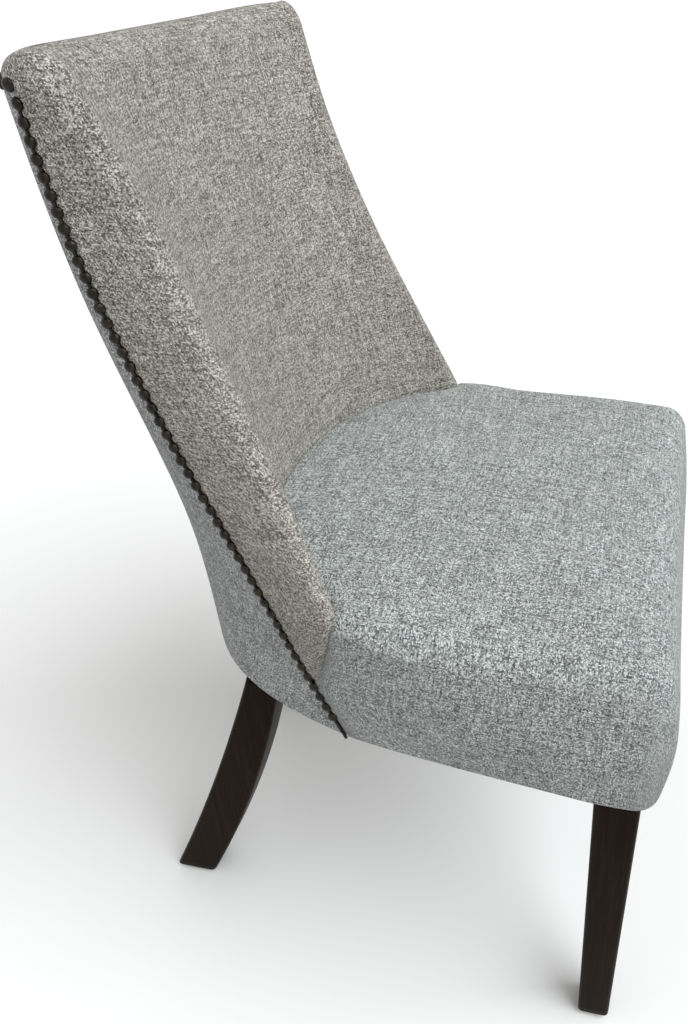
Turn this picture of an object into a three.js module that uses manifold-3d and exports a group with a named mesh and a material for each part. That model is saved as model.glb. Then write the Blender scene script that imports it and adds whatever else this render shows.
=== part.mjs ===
import * as THREE from 'three';
import { mergeVertices } from 'three/addons/utils/BufferGeometryUtils.js';
import Module from 'manifold-3d';

// Upholstered dining chair with a wrap-around back. Millimetres, +Z up, sitter faces -Y.
// Depths are measured from the front edge of the seat; the last lines centre the chair.
// Its hardest feature is the barrel back: wings that rise from the seat sides, narrow at
// the waist, flare at the crest and carry a beaded trim along their swept rear edge.

// Driving dimensions of the seat
const seatWidth = 502;
const seatTop = 512;
const seatCrown = 9;
const seatPitch = 8;
const seatBottom = 355;
const seatFrontRound = 40;
const seatSideRound = 13;
const seatCornerRound = 25;
const frontUndercut = 3;
const sideUndercut = 2;
const sidePuff = 3;
const frontPuff = 4;

// Driving dimensions of the back
const backTop = 950;
const crestEar = 7;
const crestRoundHeight = 21;
const crestRoundDepth = 24;
const wingFoot = 511;
const wingTip = 411;
const wingFrontRadiusLow = 8;
const wingFrontRadiusHigh = 18;
const rearDepthLow = 510;
const backThicknessLow = 85;
const backThicknessHigh = 46;
const lumbarPuff = 6;

// Driving dimensions of the beaded trim
const nailTop = 932;
const nailFootInset = 31;
const nailHeadInset = 37;
const nailFootLead = 125;
const nailHeadDepth = 496;
const nailHeadCover = 45;
const nailBow = 31;
const nailWaist = 11;
const nailSway = 9;
const beadPitch = 12.5;
const beadRadius = 5.3;
const beadHeight = 3.6;
const neckRadius = 2.6;
const neckHeight = 1.3;
const trimLift = 0.8;

// Materials' thicknesses and the clearance between separate pieces
const clearance = 0.3;
const fabric = 2.4;
const turnUnder = 26;
const railThickness = 22;
const railHeight = 63;
const boardThickness = 4.4;
const backFrameThickness = 21;
const strapThickness = 1.6;
const strapWidth = 50;
const dustCoverThickness = 1.2;
const overrun = 30;

// Driving dimensions of the legs and their fittings
const legTopWidth = 43;
const legFootWidth = 33;
const legEdgeRound = 5;
const frontLegTopInset = 31.5;
const frontLegFootInset = 25;
const frontLegDepth = 40;
const rearLegThickness = 40;
const rearLegTopWidth = 36;
const rearLegFootWidth = 50;
const rearLegSwell = 6;
const rearLegInset = 103;
const rearLegTopLead = 99;
const rearLegReach = 134;
const rearLegBow = 9;
const glideRadius = 11;
const glideHeight = 4;
const glidePinRadius = 1.6;
const glidePinLength = 12;
const studRadius = 3;
const studInLeg = 22;
const studAbove = 9;
const nutRadius = 6.5;
const nutHeight = 5;
const blockReach = 60;
const blockHeight = 42;

// Places worked out from the driving dimensions
const seatHalf = seatWidth / 2;
const nailFootHalf = seatHalf - nailFootInset;
const nailHeadHalf = seatHalf - nailHeadInset;
const frontLegTopHalf = seatHalf - frontLegTopInset;
const frontLegFootHalf = seatHalf - frontLegFootInset;
const rearLegHalf = seatHalf - rearLegInset;
const faceDepthLow = rearDepthLow - backThicknessLow;
const rearDepthHigh = nailHeadDepth + nailHeadCover;
const faceDepthHigh = rearDepthHigh - backThicknessHigh;
const nailFootDepth = faceDepthLow - nailFootLead;
const rearLegTopDepth = rearDepthLow - rearLegTopLead;
const rearLegFootDepth = rearLegTopDepth + rearLegReach;
const railBottom = seatBottom + fabric + clearance;
const railTop = railBottom + railHeight;
const wingRise = backTop - wingFoot;
const nailRise = nailTop - seatBottom;
const padInset = fabric + 3 * clearance;
const railInset = fabric + 4 * clearance;
const boardInset = fabric + 2 * clearance;
const frameInset = boardInset + boardThickness + clearance;
const backStrapInset = frameInset + backFrameThickness + clearance;
const foamInset = backStrapInset + strapThickness + clearance;
const strapBottom = railTop + clearance;
const foamBottom = strapBottom + 2 * (strapThickness + clearance);

// Front edge of the wings at equal steps from the seat to the crest
const wingHalfShares = [0.9, 0.815, 0.755, 0.738, 0.812];
const wingDepthShares = [0.542, 0.625, 0.709, 0.781, 0.848];

// How far the trim sways forwards of its bow at equal steps, and outwards as it does
const nailSwayShares = [0, 0.39, 0.87, 0.94, 0.48, 0.13, -0.12, 0.14, 0.84];
const nailFlareShare = 0.3;

const wasm = await Module();
wasm.setup();

const lerp = THREE.MathUtils.lerp;
const clamp = THREE.MathUtils.clamp;
const radians = THREE.MathUtils.degToRad;

// Smooth curve through shares at equal steps
function alongShares(shares, t) {
  const spans = shares.length - 1;
  const span = Math.min(Math.floor(clamp(t, 0, 1) * spans), spans - 1);
  const u = t * spans - span;
  const b = shares[span];
  const c = shares[span + 1];
  const a = span > 0 ? shares[span - 1] : 2 * b - c;
  const d = span + 2 <= spans ? shares[span + 2] : 2 * c - b;
  const square = (2 * a - 5 * b + 4 * c - d) * u * u;
  const cube = (3 * b - a - 3 * c + d) * u * u * u;
  return b + ((c - a) * u + square + cube) / 2;
}

// Closed geometry from corner points and triangles, with its faces turned outwards
function closedGeometry(points, faces) {
  const loose = new THREE.BufferGeometry();
  const coordinates = points.flatMap((p) => [p.x, p.y, p.z]);
  loose.setAttribute('position', new THREE.Float32BufferAttribute(coordinates, 3));
  loose.setIndex(faces.flat());
  const merged = mergeVertices(loose);
  const at = merged.getAttribute('position');
  const corner = (i) => new THREE.Vector3().fromBufferAttribute(at, i);
  const kept = [];
  let volume = 0;
  for (let i = 0; i < merged.index.count; i += 3) {
    const [a, b, c] = [0, 1, 2].map((k) => merged.index.getX(i + k));
    if (a !== b && b !== c && c !== a) {
      kept.push([a, b, c]);
      volume += corner(a).dot(corner(b).cross(corner(c)));
    }
  }
  merged.setIndex(volume < 0 ? kept.flatMap(([a, b, c]) => [a, c, b]) : kept.flat());
  return merged;
}

// Solid skinned over rings of equally many points, closed by a fan or by joining opposite points;
// the two halves of each ring are skinned as mirror images
function loft(rings, cap = 'fan') {
  const count = rings[0].length;
  const points = rings.flat();
  const faces = [];
  for (let r = 0; r < rings.length - 1; r += 1) {
    for (let i = 0; i < count; i += 1) {
      const a = r * count + i;
      const b = r * count + ((i + 1) % count);
      if (i < count / 2) {
        faces.push([a, b, b + count], [a, b + count, a + count]);
      } else {
        faces.push([a, b, a + count], [b, b + count, a + count]);
      }
    }
  }
  for (const [first, ring] of [[0, rings[0]], [points.length - count, rings.at(-1)]]) {
    const turn = (face) => (first === 0 ? [face[0], face[2], face[1]] : face);
    if (cap === 'fan') {
      const hub = points.length;
      points.push(ring.reduce((sum, p) => sum.add(p), new THREE.Vector3()).divideScalar(count));
      for (let i = 0; i < count; i += 1) {
        faces.push(turn([first + i, first + ((i + 1) % count), hub]));
      }
    } else {
      const half = count / 2;
      for (let i = 0; i < half / 2; i += 1) {
        const [a, b, c, d] = [i, i + 1, half - i - 1, half - i].map((k) => first + k);
        const mirror = [count - i, count - i - 1, half + i + 1, half + i];
        const [e, f, g, h] = mirror.map((k) => first + (k % count));
        faces.push(turn([a, b, c]), turn([a, c, d]), turn([e, g, f]), turn([e, h, g]));
      }
    }
  }
  return closedGeometry(points, faces);
}

function toSolid(geometry) {
  const bare = geometry.clone();
  bare.deleteAttribute('normal');
  bare.deleteAttribute('uv');
  const merged = mergeVertices(bare);
  const vertProperties = new Float32Array(merged.getAttribute('position').array);
  const triVerts = new Uint32Array(merged.index.array);
  return new wasm.Manifold(new wasm.Mesh({ numProp: 3, vertProperties, triVerts }));
}

function toGeometry(solid) {
  const mesh = solid.getMesh();
  const geometry = new THREE.BufferGeometry();
  geometry.setAttribute('position', new THREE.BufferAttribute(new Float32Array(mesh.vertProperties), 3));
  geometry.setIndex(new THREE.BufferAttribute(new Uint32Array(mesh.triVerts), 1));
  return geometry;
}

// Box cutter between two corners
function boxSolid(low, high) {
  const size = high.clone().sub(low);
  const box = new THREE.BoxGeometry(size.x, size.y, size.z);
  const middle = low.clone().add(high).divideScalar(2);
  return toSolid(box.translate(middle.x, middle.y, middle.z));
}

// Everything of the chair between two heights
function layer(bottom, top) {
  const low = new THREE.Vector3(-seatWidth, -seatWidth, bottom);
  const high = new THREE.Vector3(seatWidth, 2 * seatWidth, top);
  return boxSolid(low, high);
}

// Prism right across the chair from a side outline of depth and height pairs
function sidePrism(outline) {
  const shape = new THREE.Shape(outline.map(([depth, height]) => new THREE.Vector2(depth, height)));
  const prism = new THREE.ExtrudeGeometry(shape, { depth: 2 * seatWidth, bevelEnabled: false });
  prism.translate(0, 0, -seatWidth);
  const turned = new THREE.Matrix4().makeBasis(
    new THREE.Vector3(0, 1, 0),
    new THREE.Vector3(0, 0, 1),
    new THREE.Vector3(1, 0, 0),
  );
  return toSolid(prism.applyMatrix4(turned));
}

// Half of the chair on one side of the middle plane, side is -1 or 1
function halfSpace(side) {
  const low = new THREE.Vector3(side > 0 ? 0 : -seatWidth, -seatWidth, -seatWidth);
  const high = new THREE.Vector3(side > 0 ? seatWidth : 0, 2 * seatWidth, 2 * backTop);
  return boxSolid(low, high);
}

function mirrored(geometry) {
  const copy = geometry.clone();
  const at = copy.getAttribute('position');
  for (let i = 0; i < at.count; i += 1) {
    at.setX(i, -at.getX(i));
  }
  const order = Array.from(copy.index.array);
  for (let i = 0; i < order.length; i += 3) {
    [order[i + 1], order[i + 2]] = [order[i + 2], order[i + 1]];
  }
  copy.setIndex(order);
  return copy;
}

// Plan ring from its right half, which runs from the middle plane round to the middle plane
function wholeRing(half) {
  const left = half.slice(1, -1).reverse().map((p) => new THREE.Vector2(-p.x, p.y));
  return [...half, ...left];
}

// Plan ring moved inwards by one distance or by one for each point, outwards where it is negative
function insetRing(ring, distance) {
  return ring.map((point, i) => {
    const by = Array.isArray(distance) ? distance[i] : distance;
    const before = ring[(i + ring.length - 1) % ring.length];
    const after = ring[(i + 1) % ring.length];
    const one = point.clone().sub(before).normalize();
    const two = after.clone().sub(point).normalize();
    const along = one.add(two).normalize();
    return point.clone().add(new THREE.Vector2(-along.y, along.x).multiplyScalar(by));
  });
}

function atHeight(ring, z) {
  return ring.map((p) => new THREE.Vector3(p.x, p.y, z));
}

// Line of the beaded trim on one side: half width and depth at a height
function nailLine(z) {
  const t = (z - seatBottom) / nailRise;
  const bulge = 4 * t * (1 - t);
  const sway = nailSway * alongShares(nailSwayShares, t);
  return new THREE.Vector2(
    lerp(nailFootHalf, nailHeadHalf, t) - nailWaist * bulge + nailFlareShare * sway,
    lerp(nailFootDepth, nailHeadDepth, t) + nailBow * bulge - sway,
  );
}

// Side of the seat in plan, from the front corner to the trim line
const sideStart = 60;
const sideLeadLow = 85;
const sideLeadHigh = 130;
const sideLean = 9;
const sideTailLow = 40;
const sideTailHigh = 75;
const sideTailAngleLow = 14;
const sideTailAngleHigh = 28;
function seatSide(z) {
  const t = clamp((z - seatBottom) / (seatTop - seatBottom), 0, 1);
  const angle = radians(lerp(sideTailAngleLow, sideTailAngleHigh, t));
  const lead = lerp(sideLeadLow, sideLeadHigh, t);
  const tail = lerp(sideTailLow, sideTailHigh, t);
  const start = new THREE.Vector2(seatHalf - sideUndercut * (1 - t), sideStart);
  const end = nailLine(z);
  const startHandle = start.clone().add(new THREE.Vector2(lerp(-sideLean, sidePuff, t), lead));
  const endHandle = end.clone().add(new THREE.Vector2(tail * Math.sin(angle), -tail * Math.cos(angle)));
  return new THREE.CubicBezierCurve(start, startHandle, endHandle, end);
}

// Half width of the seat side where it reaches a depth
function seatSideAt(z, depth) {
  const curve = seatSide(z);
  let low = 0;
  let high = 1;
  for (let step = 0; step < 24; step += 1) {
    const middle = (low + high) / 2;
    if (curve.getPoint(middle).y < depth) {
      low = middle;
    } else {
      high = middle;
    }
  }
  return curve.getPoint(low);
}

// Rounded front edge of a wing: centre and radius of its rounding in plan
function wingEdge(z) {
  const t = (z - wingFoot) / wingRise;
  if (t >= 0) {
    const radius = lerp(wingFrontRadiusLow, wingFrontRadiusHigh, t);
    const half = alongShares(wingHalfShares, t) * seatHalf;
    const depth = alongShares(wingDepthShares, t) * rearDepthHigh;
    return { radius, centre: new THREE.Vector2(half, depth + radius) };
  }
  const rise = clamp((z - wingTip) / (wingFoot - wingTip), 0, 1);
  const radius = lerp(wingFrontRadiusLow / 2, wingFrontRadiusLow, rise);
  const tip = nailLine(Math.min(z, wingTip)).y - neckRadius - wingFrontRadiusLow / 2;
  const depth = lerp(tip, wingDepthShares[0] * rearDepthHigh, rise) + radius;
  return { radius, centre: new THREE.Vector2(seatSideAt(z, depth).x - radius, depth) };
}

// Outside back in plan, from the trim line to the middle of the rear
const rearLeadShares = [0.53, 0.45];
const rearTailShare = 0.66;
const rearAngle = 20;
const rearAngleShares = [0.75, 1.5, 1.05, -0.1, 0.1];
const rearCurvePower = 1.2;
function outsideBack(z) {
  const t = Math.max((z - seatBottom) / nailRise, 0);
  const start = nailLine(z);
  const rear = lerp(rearDepthLow, rearDepthHigh, t ** rearCurvePower);
  const angle = radians(rearAngle * alongShares(rearAngleShares, t));
  const lead = lerp(...rearLeadShares, t) * (rear - start.y);
  const startHandle = start.clone().add(new THREE.Vector2(-lead * Math.sin(angle), lead * Math.cos(angle)));
  const endHandle = new THREE.Vector2(rearTailShare * start.x, rear);
  return new THREE.CubicBezierCurve(start, startHandle, endHandle, new THREE.Vector2(0, rear));
}

// Inside back in plan, from the middle of its face to the rounding of the wing
const faceLeadShare = 0.5;
const faceTailShare = 0.6;
const faceAngleLow = 24;
const faceAngleHigh = 42;
function faceAngle(z) {
  return radians(lerp(faceAngleLow, faceAngleHigh, clamp((z - wingFoot) / wingRise, 0, 1)));
}
function insideBack(z) {
  const t = (z - wingFoot) / wingRise;
  const { radius, centre } = wingEdge(z);
  const angle = faceAngle(z);
  const puff = lumbarPuff * Math.sin(Math.PI * clamp(t, 0, 1));
  const face = lerp(faceDepthLow, faceDepthHigh, t) - puff;
  const edge = centre.clone().add(new THREE.Vector2(-radius * Math.cos(angle), -radius * Math.sin(angle)));
  const lead = faceLeadShare * (face - edge.y);
  const edgeHandle = edge.clone().add(new THREE.Vector2(-lead * Math.sin(angle), lead * Math.cos(angle)));
  const faceHandle = new THREE.Vector2(faceTailShare * edge.x, face);
  return new THREE.CubicBezierCurve(new THREE.Vector2(0, face), faceHandle, edgeHandle, edge);
}

// Right half of the back's crescent: inside face, rounded wing edge, wing side, outside back
const hornSteps = 4;
const faceSteps = 8;
const wingSideSteps = 2;
const wingPuffShare = 0.05;
const rearSteps = 6;
function wingSide(z) {
  const { radius, centre } = wingEdge(z);
  const start = centre.clone().add(new THREE.Vector2(radius, 0));
  const end = nailLine(z);
  const middle = start.clone().add(end).divideScalar(2);
  const across = end.clone().sub(start);
  middle.add(new THREE.Vector2(across.y, -across.x).multiplyScalar(wingPuffShare));
  return new THREE.QuadraticBezierCurve(start, middle, end);
}
function crescentHalf(z) {
  const { radius, centre } = wingEdge(z);
  const angle = faceAngle(z);
  const horn = [];
  for (let i = 1; i < hornSteps; i += 1) {
    const turn = lerp(-Math.PI + angle, 0, i / hornSteps);
    horn.push(centre.clone().add(new THREE.Vector2(Math.cos(turn), Math.sin(turn)).multiplyScalar(radius)));
  }
  return [
    ...insideBack(z).getPoints(faceSteps),
    ...horn,
    ...wingSide(z).getPoints(wingSideSteps),
    ...outsideBack(z).getPoints(rearSteps).slice(1),
  ];
}

// Heights of the back's rings, with one at each end of the wing's foot
const shoulder = backTop - crestRoundHeight;
const crestSteps = 3;
function heightSteps(low, high, steps) {
  return Array.from({ length: steps }, (_, i) => lerp(low, high, i / steps));
}
const backHeights = [
  ...heightSteps(seatBottom, wingTip, 2),
  ...heightSteps(wingTip, wingFoot, 3),
  ...heightSteps(wingFoot, shoulder, 8),
  shoulder,
];

// Depth of the crest's rounding at each point of a ring, at most half the back's thickness there
const crestPairShare = 0.45;
const crestHornShare = 0.85;
function crestDepths(ring) {
  const half = ring.length / 2;
  return ring.map((p, i) => {
    const partner = ring[(i > half ? ring.length + half - i : half - i)];
    const paired = crestPairShare * p.distanceTo(partner);
    return clamp(paired, crestHornShare * wingFrontRadiusHigh, crestRoundDepth);
  });
}

// Back body as rings at rising heights, with its crest rounded over
function backRings(inset, bottom = seatBottom) {
  const rings = [];
  const levels = [bottom, ...backHeights.slice(bottom < seatBottom ? 0 : 1)];
  for (const z of levels) {
    rings.push(atHeight(insetRing(wholeRing(crescentHalf(Math.max(z, seatBottom))), inset), z));
  }
  const rise = crestRoundHeight - inset;
  for (let i = 1; i <= crestSteps; i += 1) {
    const turn = (i / crestSteps) * (Math.PI / 2);
    const z = shoulder + rise * Math.sin(turn);
    const plan = wholeRing(crescentHalf(z));
    const turnedShare = 1 - Math.cos(turn);
    const drawIn = crestDepths(plan).map((depth) => inset + (depth - Math.max(inset, 0)) * turnedShare);
    const ring = atHeight(insetRing(plan, drawIn), z);
    ring.forEach((p) => {
      p.z += crestEar * Math.sin(turn) * (p.x / nailHeadHalf) ** 2;
    });
    rings.push(ring);
  }
  return rings;
}
function backBody(inset, bottom) {
  return toSolid(loft(backRings(inset, bottom), 'pairs'));
}

// Heights for the solids that divide the back in layers
function dividerHeights(bottom) {
  return [bottom, ...backHeights, backTop, backTop + overrun];
}

// Everything inside the outside back once it is moved in by a distance
function insideOfOutside(inset, bottom = seatBottom - overrun) {
  const rings = dividerHeights(bottom).map((z) => {
    const level = clamp(z, seatBottom, backTop);
    const wing = wingSide(level).getPoints(wingSideSteps);
    const rear = outsideBack(level).getPoints(rearSteps).slice(1);
    const side = [...wing, ...rear];
    const front = side[0].clone().sub(new THREE.Vector2(0, overrun));
    const half = [new THREE.Vector2(0, front.y - inset), front, ...side];
    return atHeight(insetRing(wholeRing(half), inset), z);
  });
  return toSolid(loft(rings));
}

// Space in front of the inside back, grown towards the rear by a distance
function sitterSpace(growth, bottom = seatBottom - overrun) {
  const rings = dividerHeights(bottom).map((z) => {
    const level = clamp(z, seatBottom, backTop);
    const face = insideBack(level).getPoints(faceSteps);
    const edge = face.at(-1).clone();
    edge.y -= seatHalf;
    edge.x += seatHalf * Math.tan(faceAngle(level));
    const half = [new THREE.Vector2(0, edge.y), edge, ...face.reverse()];
    return atHeight(insetRing(wholeRing(half), -growth), z);
  });
  return toSolid(loft(rings));
}

// Side outline of everything behind the trim line and below the top row of beads; under the
// tip of the wing it starts ahead of the line, so that the trim covers the joint
const outlineSteps = 9;
const trimUnderlap = neckRadius + wingFrontRadiusLow;
function behindNailLine(shift, bottom = seatBottom - overrun) {
  const tip = wingTip - shift;
  const outline = [
    [nailLine(seatBottom).y + shift - trimUnderlap, bottom],
    [nailLine(tip).y + shift - trimUnderlap, tip],
  ];
  for (let i = 0; i <= outlineSteps; i += 1) {
    const z = lerp(tip, nailTop - shift, i / outlineSteps);
    outline.push([nailLine(z).y + shift, z]);
  }
  outline.push([2 * seatWidth, nailTop - shift], [2 * seatWidth, bottom]);
  return sidePrism(outline);
}

// Right half of the seat's plan: front edge, front corner and side
const cornerSteps = 4;
const sideSteps = 5;
function seatFront(z) {
  const t = clamp((z - seatBottom) / (seatTop - seatBottom), 0, 1);
  return frontUndercut * (1 - t) ** 1.5;
}
function seatFrontHalf(z) {
  const side = seatSide(z).getPoint(0);
  const front = seatFront(z);
  const hub = new THREE.Vector2(side.x - seatCornerRound, front + seatCornerRound);
  const half = [new THREE.Vector2(0, front), new THREE.Vector2(hub.x / 2, front)];
  for (let i = 0; i <= cornerSteps; i += 1) {
    const turn = lerp(-Math.PI / 2, 0, i / cornerSteps);
    const spoke = new THREE.Vector2(Math.cos(turn), Math.sin(turn)).multiplyScalar(seatCornerRound);
    half.push(hub.clone().add(spoke));
  }
  return half;
}

// Whole outer plan of the chair at a height below the seat's top
function planRing(z, inset) {
  const half = [
    ...seatFrontHalf(z),
    ...seatSide(z).getPoints(sideSteps),
    ...outsideBack(z).getPoints(rearSteps).slice(1),
  ];
  return atHeight(insetRing(wholeRing(half), inset), z);
}
function planSolid(inset, bottom, top) {
  const middle = (bottom + top) / 2;
  const levels = [bottom, middle, top].map((z) => {
    const ring = planRing(clamp(z, seatBottom, seatTop), inset);
    return ring.map((p) => new THREE.Vector3(p.x, p.y, z));
  });
  return toSolid(loft(levels));
}

// Seat body: upright walls, a rolled edge and a crowned top, tucked in under the wings
const tuck = 5;
const tuckSteps = 6;
const rollSteps = 3;
const crownShares = [0.8, 0.55, 0.25];
function seatOutline(z) {
  const { radius, centre } = wingEdge(z);
  const curve = seatSide(z);
  const reach = centre.y + Math.min(radius, clearance);
  const side = [];
  const start = curve.getPoint(0).y;
  for (let i = 0; i <= sideSteps; i += 1) {
    side.push(seatSideAt(z, lerp(start, reach, i / sideSteps)));
  }
  const face = insideBack(z).getPoints(tuckSteps + 1).reverse();
  const hidden = insetRing(wholeRing([new THREE.Vector2(0, 0), ...face]), -tuck).slice(1, tuckSteps + 3);
  hidden[hidden.length - 1].x = 0;
  return wholeRing([...seatFrontHalf(z), ...side, ...hidden.slice(1)]);
}
function seatRings(inset, bottom) {
  const topAt = (p) => seatTop - inset + seatPitch * (p.y / faceDepthLow - 0.5);
  const rollAt = (p) => {
    const nearCorner = clamp((2 * Math.abs(p.x) - seatHalf) / (seatHalf - 2 * seatCornerRound), 0, 1);
    const frontRoll = lerp(seatFrontRound, seatCornerRound, nearCorner);
    return lerp(frontRoll, seatSideRound, clamp(p.y / (2 * seatFrontRound), 0, 1)) - inset;
  };
  const rings = [];
  const wall = [bottom, (bottom + wingTip) / 2, wingTip, lerp(wingTip, wingFoot, 1 / 3)];
  wall.forEach((level, k) => {
    const bulge = Math.sin((Math.PI * k) / wall.length);
    const plan = seatOutline(Math.max(level, seatBottom));
    const unit = insetRing(plan, 1);
    rings.push(plan.map((p, i) => {
      const back = clamp((p.y - sideStart) / (wingDepthShares[0] * rearDepthHigh - sideStart), 0, 1);
      const puff = lerp(frontPuff, sidePuff, clamp(p.y / sideStart, 0, 1)) * (1 - back ** 3);
      const moved = p.clone().lerp(unit[i], inset - puff * bulge);
      return new THREE.Vector3(moved.x, moved.y, Math.min(level, topAt(p) - rollAt(p)));
    }));
  });
  const plan = seatOutline(wingFoot);
  const unit = insetRing(plan, 1);
  for (let k = 0; k <= rollSteps; k += 1) {
    const turn = (k / rollSteps) * (Math.PI / 2);
    rings.push(plan.map((p, i) => {
      const roll = rollAt(p);
      const moved = p.clone().lerp(unit[i], inset + roll * (1 - Math.cos(turn)));
      return new THREE.Vector3(moved.x, moved.y, topAt(p) - roll * (1 - Math.sin(turn)));
    }));
  }
  const rim = rings.at(-1);
  const middle = new THREE.Vector3(0, faceDepthLow / 2, seatTop - inset);
  for (const share of crownShares) {
    const crown = seatCrown * (1 - share * share);
    rings.push(rim.map((p) => middle.clone().lerp(p, share).add(new THREE.Vector3(0, 0, crown))));
  }
  return rings;
}
function seatBody(inset, bottom) {
  return toSolid(loft(seatRings(inset, bottom)));
}

// Legs: rounded squares stacked along a path; front legs taper, rear legs sweep back
const legTop = seatBottom - clearance;
const legFoot = glideHeight + clearance;
const legCornerSteps = 2;
function legRing({ middle, width, breadth }, z, extra, ease = 0) {
  const ring = [];
  const reach = new THREE.Vector2(width / 2 - legEdgeRound - ease, breadth / 2 - legEdgeRound - ease);
  for (let corner = 0; corner < 4; corner += 1) {
    const toCorner = (corner + 0.5) * (Math.PI / 2);
    for (let i = 0; i <= legCornerSteps; i += 1) {
      const turn = (corner + i / legCornerSteps) * (Math.PI / 2);
      ring.push(new THREE.Vector3(
        middle.x + Math.sign(Math.cos(toCorner)) * reach.x + (legEdgeRound + extra) * Math.cos(turn),
        middle.y + Math.sign(Math.sin(toCorner)) * reach.y + (legEdgeRound + extra) * Math.sin(turn),
        z,
      ));
    }
  }
  return ring;
}
const frontLegPath = (t) => ({
  middle: new THREE.Vector2(lerp(frontLegTopHalf, frontLegFootHalf, t), frontLegDepth),
  width: lerp(legTopWidth, legFootWidth, t),
  breadth: lerp(legTopWidth, legFootWidth, t),
});
const rearLegLine = (t) => lerp(rearLegTopDepth, rearLegFootDepth, t) - 4 * rearLegBow * t * (1 - t);
const rearLegPath = (t) => ({
  middle: new THREE.Vector2(rearLegHalf, rearLegLine(t)),
  width: rearLegThickness,
  breadth: lerp(rearLegTopWidth, rearLegFootWidth, t) + 4 * rearLegSwell * t * (1 - t),
});
const footEase = 3;
function legBody(path, steps, extra = 0) {
  const rings = [legRing(path(1), legFoot, extra, footEase)];
  for (let i = steps; i >= 0; i -= 1) {
    const t = i / steps;
    rings.push(legRing(path(t), lerp(legTop + extra, legFoot + footEase, t), extra));
  }
  return toSolid(loft(rings));
}

// Turned part on an upright axis from radius and height pairs
const turnedSides = 12;
function turned(profile, x, y, sides = turnedSides) {
  const points = profile.map(([radius, height]) => new THREE.Vector2(radius, height));
  return toSolid(new THREE.LatheGeometry(points, sides).rotateX(Math.PI / 2).translate(x, y, 0));
}

// Floor glide with its pin, and the bore that takes the pin
function glide(foot) {
  const ease = glideHeight / 4;
  return turned([
    [0, 0],
    [glideRadius - ease, 0],
    [glideRadius, ease],
    [glideRadius, glideHeight],
    [glidePinRadius, glideHeight],
    [glidePinRadius, glideHeight + glidePinLength],
    [0, glideHeight + glidePinLength + glidePinRadius],
  ], foot.x, foot.y);
}
function glideBore(foot) {
  const bore = glidePinRadius + clearance;
  return turned([
    [0, 0],
    [bore, 0],
    [bore, glideHeight + glidePinLength + bore],
    [0, glideHeight + glidePinLength + bore],
  ], foot.x, foot.y);
}

// Hanger stud from the leg up through the corner block, with its nut on top
const blockTop = railBottom + blockHeight;
const studTop = blockTop + studAbove;
function studBody(at, extra) {
  const tip = legTop - studInLeg;
  return turned([
    [0, tip - extra - studRadius],
    [studRadius + extra, tip - extra],
    [studRadius + extra, studTop + extra],
    [0, studTop + extra],
  ], at.x, at.y);
}
const nutSides = 6;
function nutBody(at) {
  const bottom = blockTop + clearance;
  const nut = turned([
    [0, bottom],
    [nutRadius, bottom],
    [nutRadius, bottom + nutHeight],
    [0, bottom + nutHeight],
  ], at.x, at.y, nutSides);
  return nut.subtract(studBody(at, clearance));
}

// Where the studs stand: towards the inner side of each leg's top
const frontStud = new THREE.Vector2(
  frontLegTopHalf - legTopWidth / 4,
  frontLegDepth + legTopWidth / 4,
);
const rearStud = new THREE.Vector2(rearLegHalf - rearLegThickness / 3, rearLegTopDepth - studRadius);

// Corner block: a wedge across the corner, trimmed to the inner faces of the rails
function cornerBlock(at, diagonal, stud) {
  const along = new THREE.Vector2(Math.cos(diagonal), Math.sin(diagonal));
  const across = new THREE.Vector2(-along.y, along.x);
  const place = (u, v) => at.clone()
    .addScaledVector(along, u * blockReach)
    .addScaledVector(across, v * blockReach);
  const blockOutlineShares = [[-0.4, -0.3], [0.45, -0.95], [0.45, 0.95], [-0.4, 0.3]];
  const shape = new THREE.Shape(blockOutlineShares.map(([u, v]) => place(u, v)));
  const wedge = new THREE.ExtrudeGeometry(shape, { depth: blockHeight, bevelEnabled: false });
  const inner = planSolid(railInset + railThickness + clearance, railBottom - overrun, railTop + overrun);
  return toSolid(wedge.translate(0, 0, railBottom)).intersect(inner).subtract(studBody(stud, clearance));
}

// Seat frame: one bent ring of rail, parted at the corners
const frameRing = planSolid(railInset, railBottom, railTop)
  .subtract(planSolid(railInset + railThickness, railBottom - overrun, railTop + overrun));
const cornerDepth = frontUndercut + railInset + railThickness;
const rearJointHalf = rearLegHalf;
function planBox(x0, x1, y0, y1) {
  const low = new THREE.Vector3(x0, y0, seatBottom - overrun);
  const high = new THREE.Vector3(x1, y1, backTop + overrun);
  return boxSolid(low, high);
}
const frontRail = frameRing.intersect(planBox(-seatWidth, seatWidth, -overrun, cornerDepth));
const sideRail = frameRing
  .intersect(planBox(rearJointHalf + clearance, seatWidth, cornerDepth + clearance, rearDepthHigh));
const rearRail = frameRing.intersect(planBox(-rearJointHalf, rearJointHalf, seatWidth / 2, 2 * seatWidth));

// Seat webbing: straps across the side rails, then straps from front to rear over them
const crossStrapShares = [0.25, 0.47, 0.69];
const lengthStrapShares = [-0.42, 0, 0.42];
function strapsWithin(box, bottom) {
  const bed = planSolid(railInset + railThickness / 3, bottom, bottom + strapThickness);
  return box.intersect(bed);
}
const crossStraps = crossStrapShares.map((share) => {
  const y = share * faceDepthLow;
  return strapsWithin(planBox(-seatWidth, seatWidth, y - strapWidth / 2, y + strapWidth / 2), strapBottom);
});
const lengthStraps = lengthStrapShares.map((share) => {
  const x = share * seatHalf;
  const low = strapBottom + strapThickness + clearance;
  return strapsWithin(planBox(x - strapWidth / 2, x + strapWidth / 2, -overrun, 2 * seatWidth), low);
});

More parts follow.
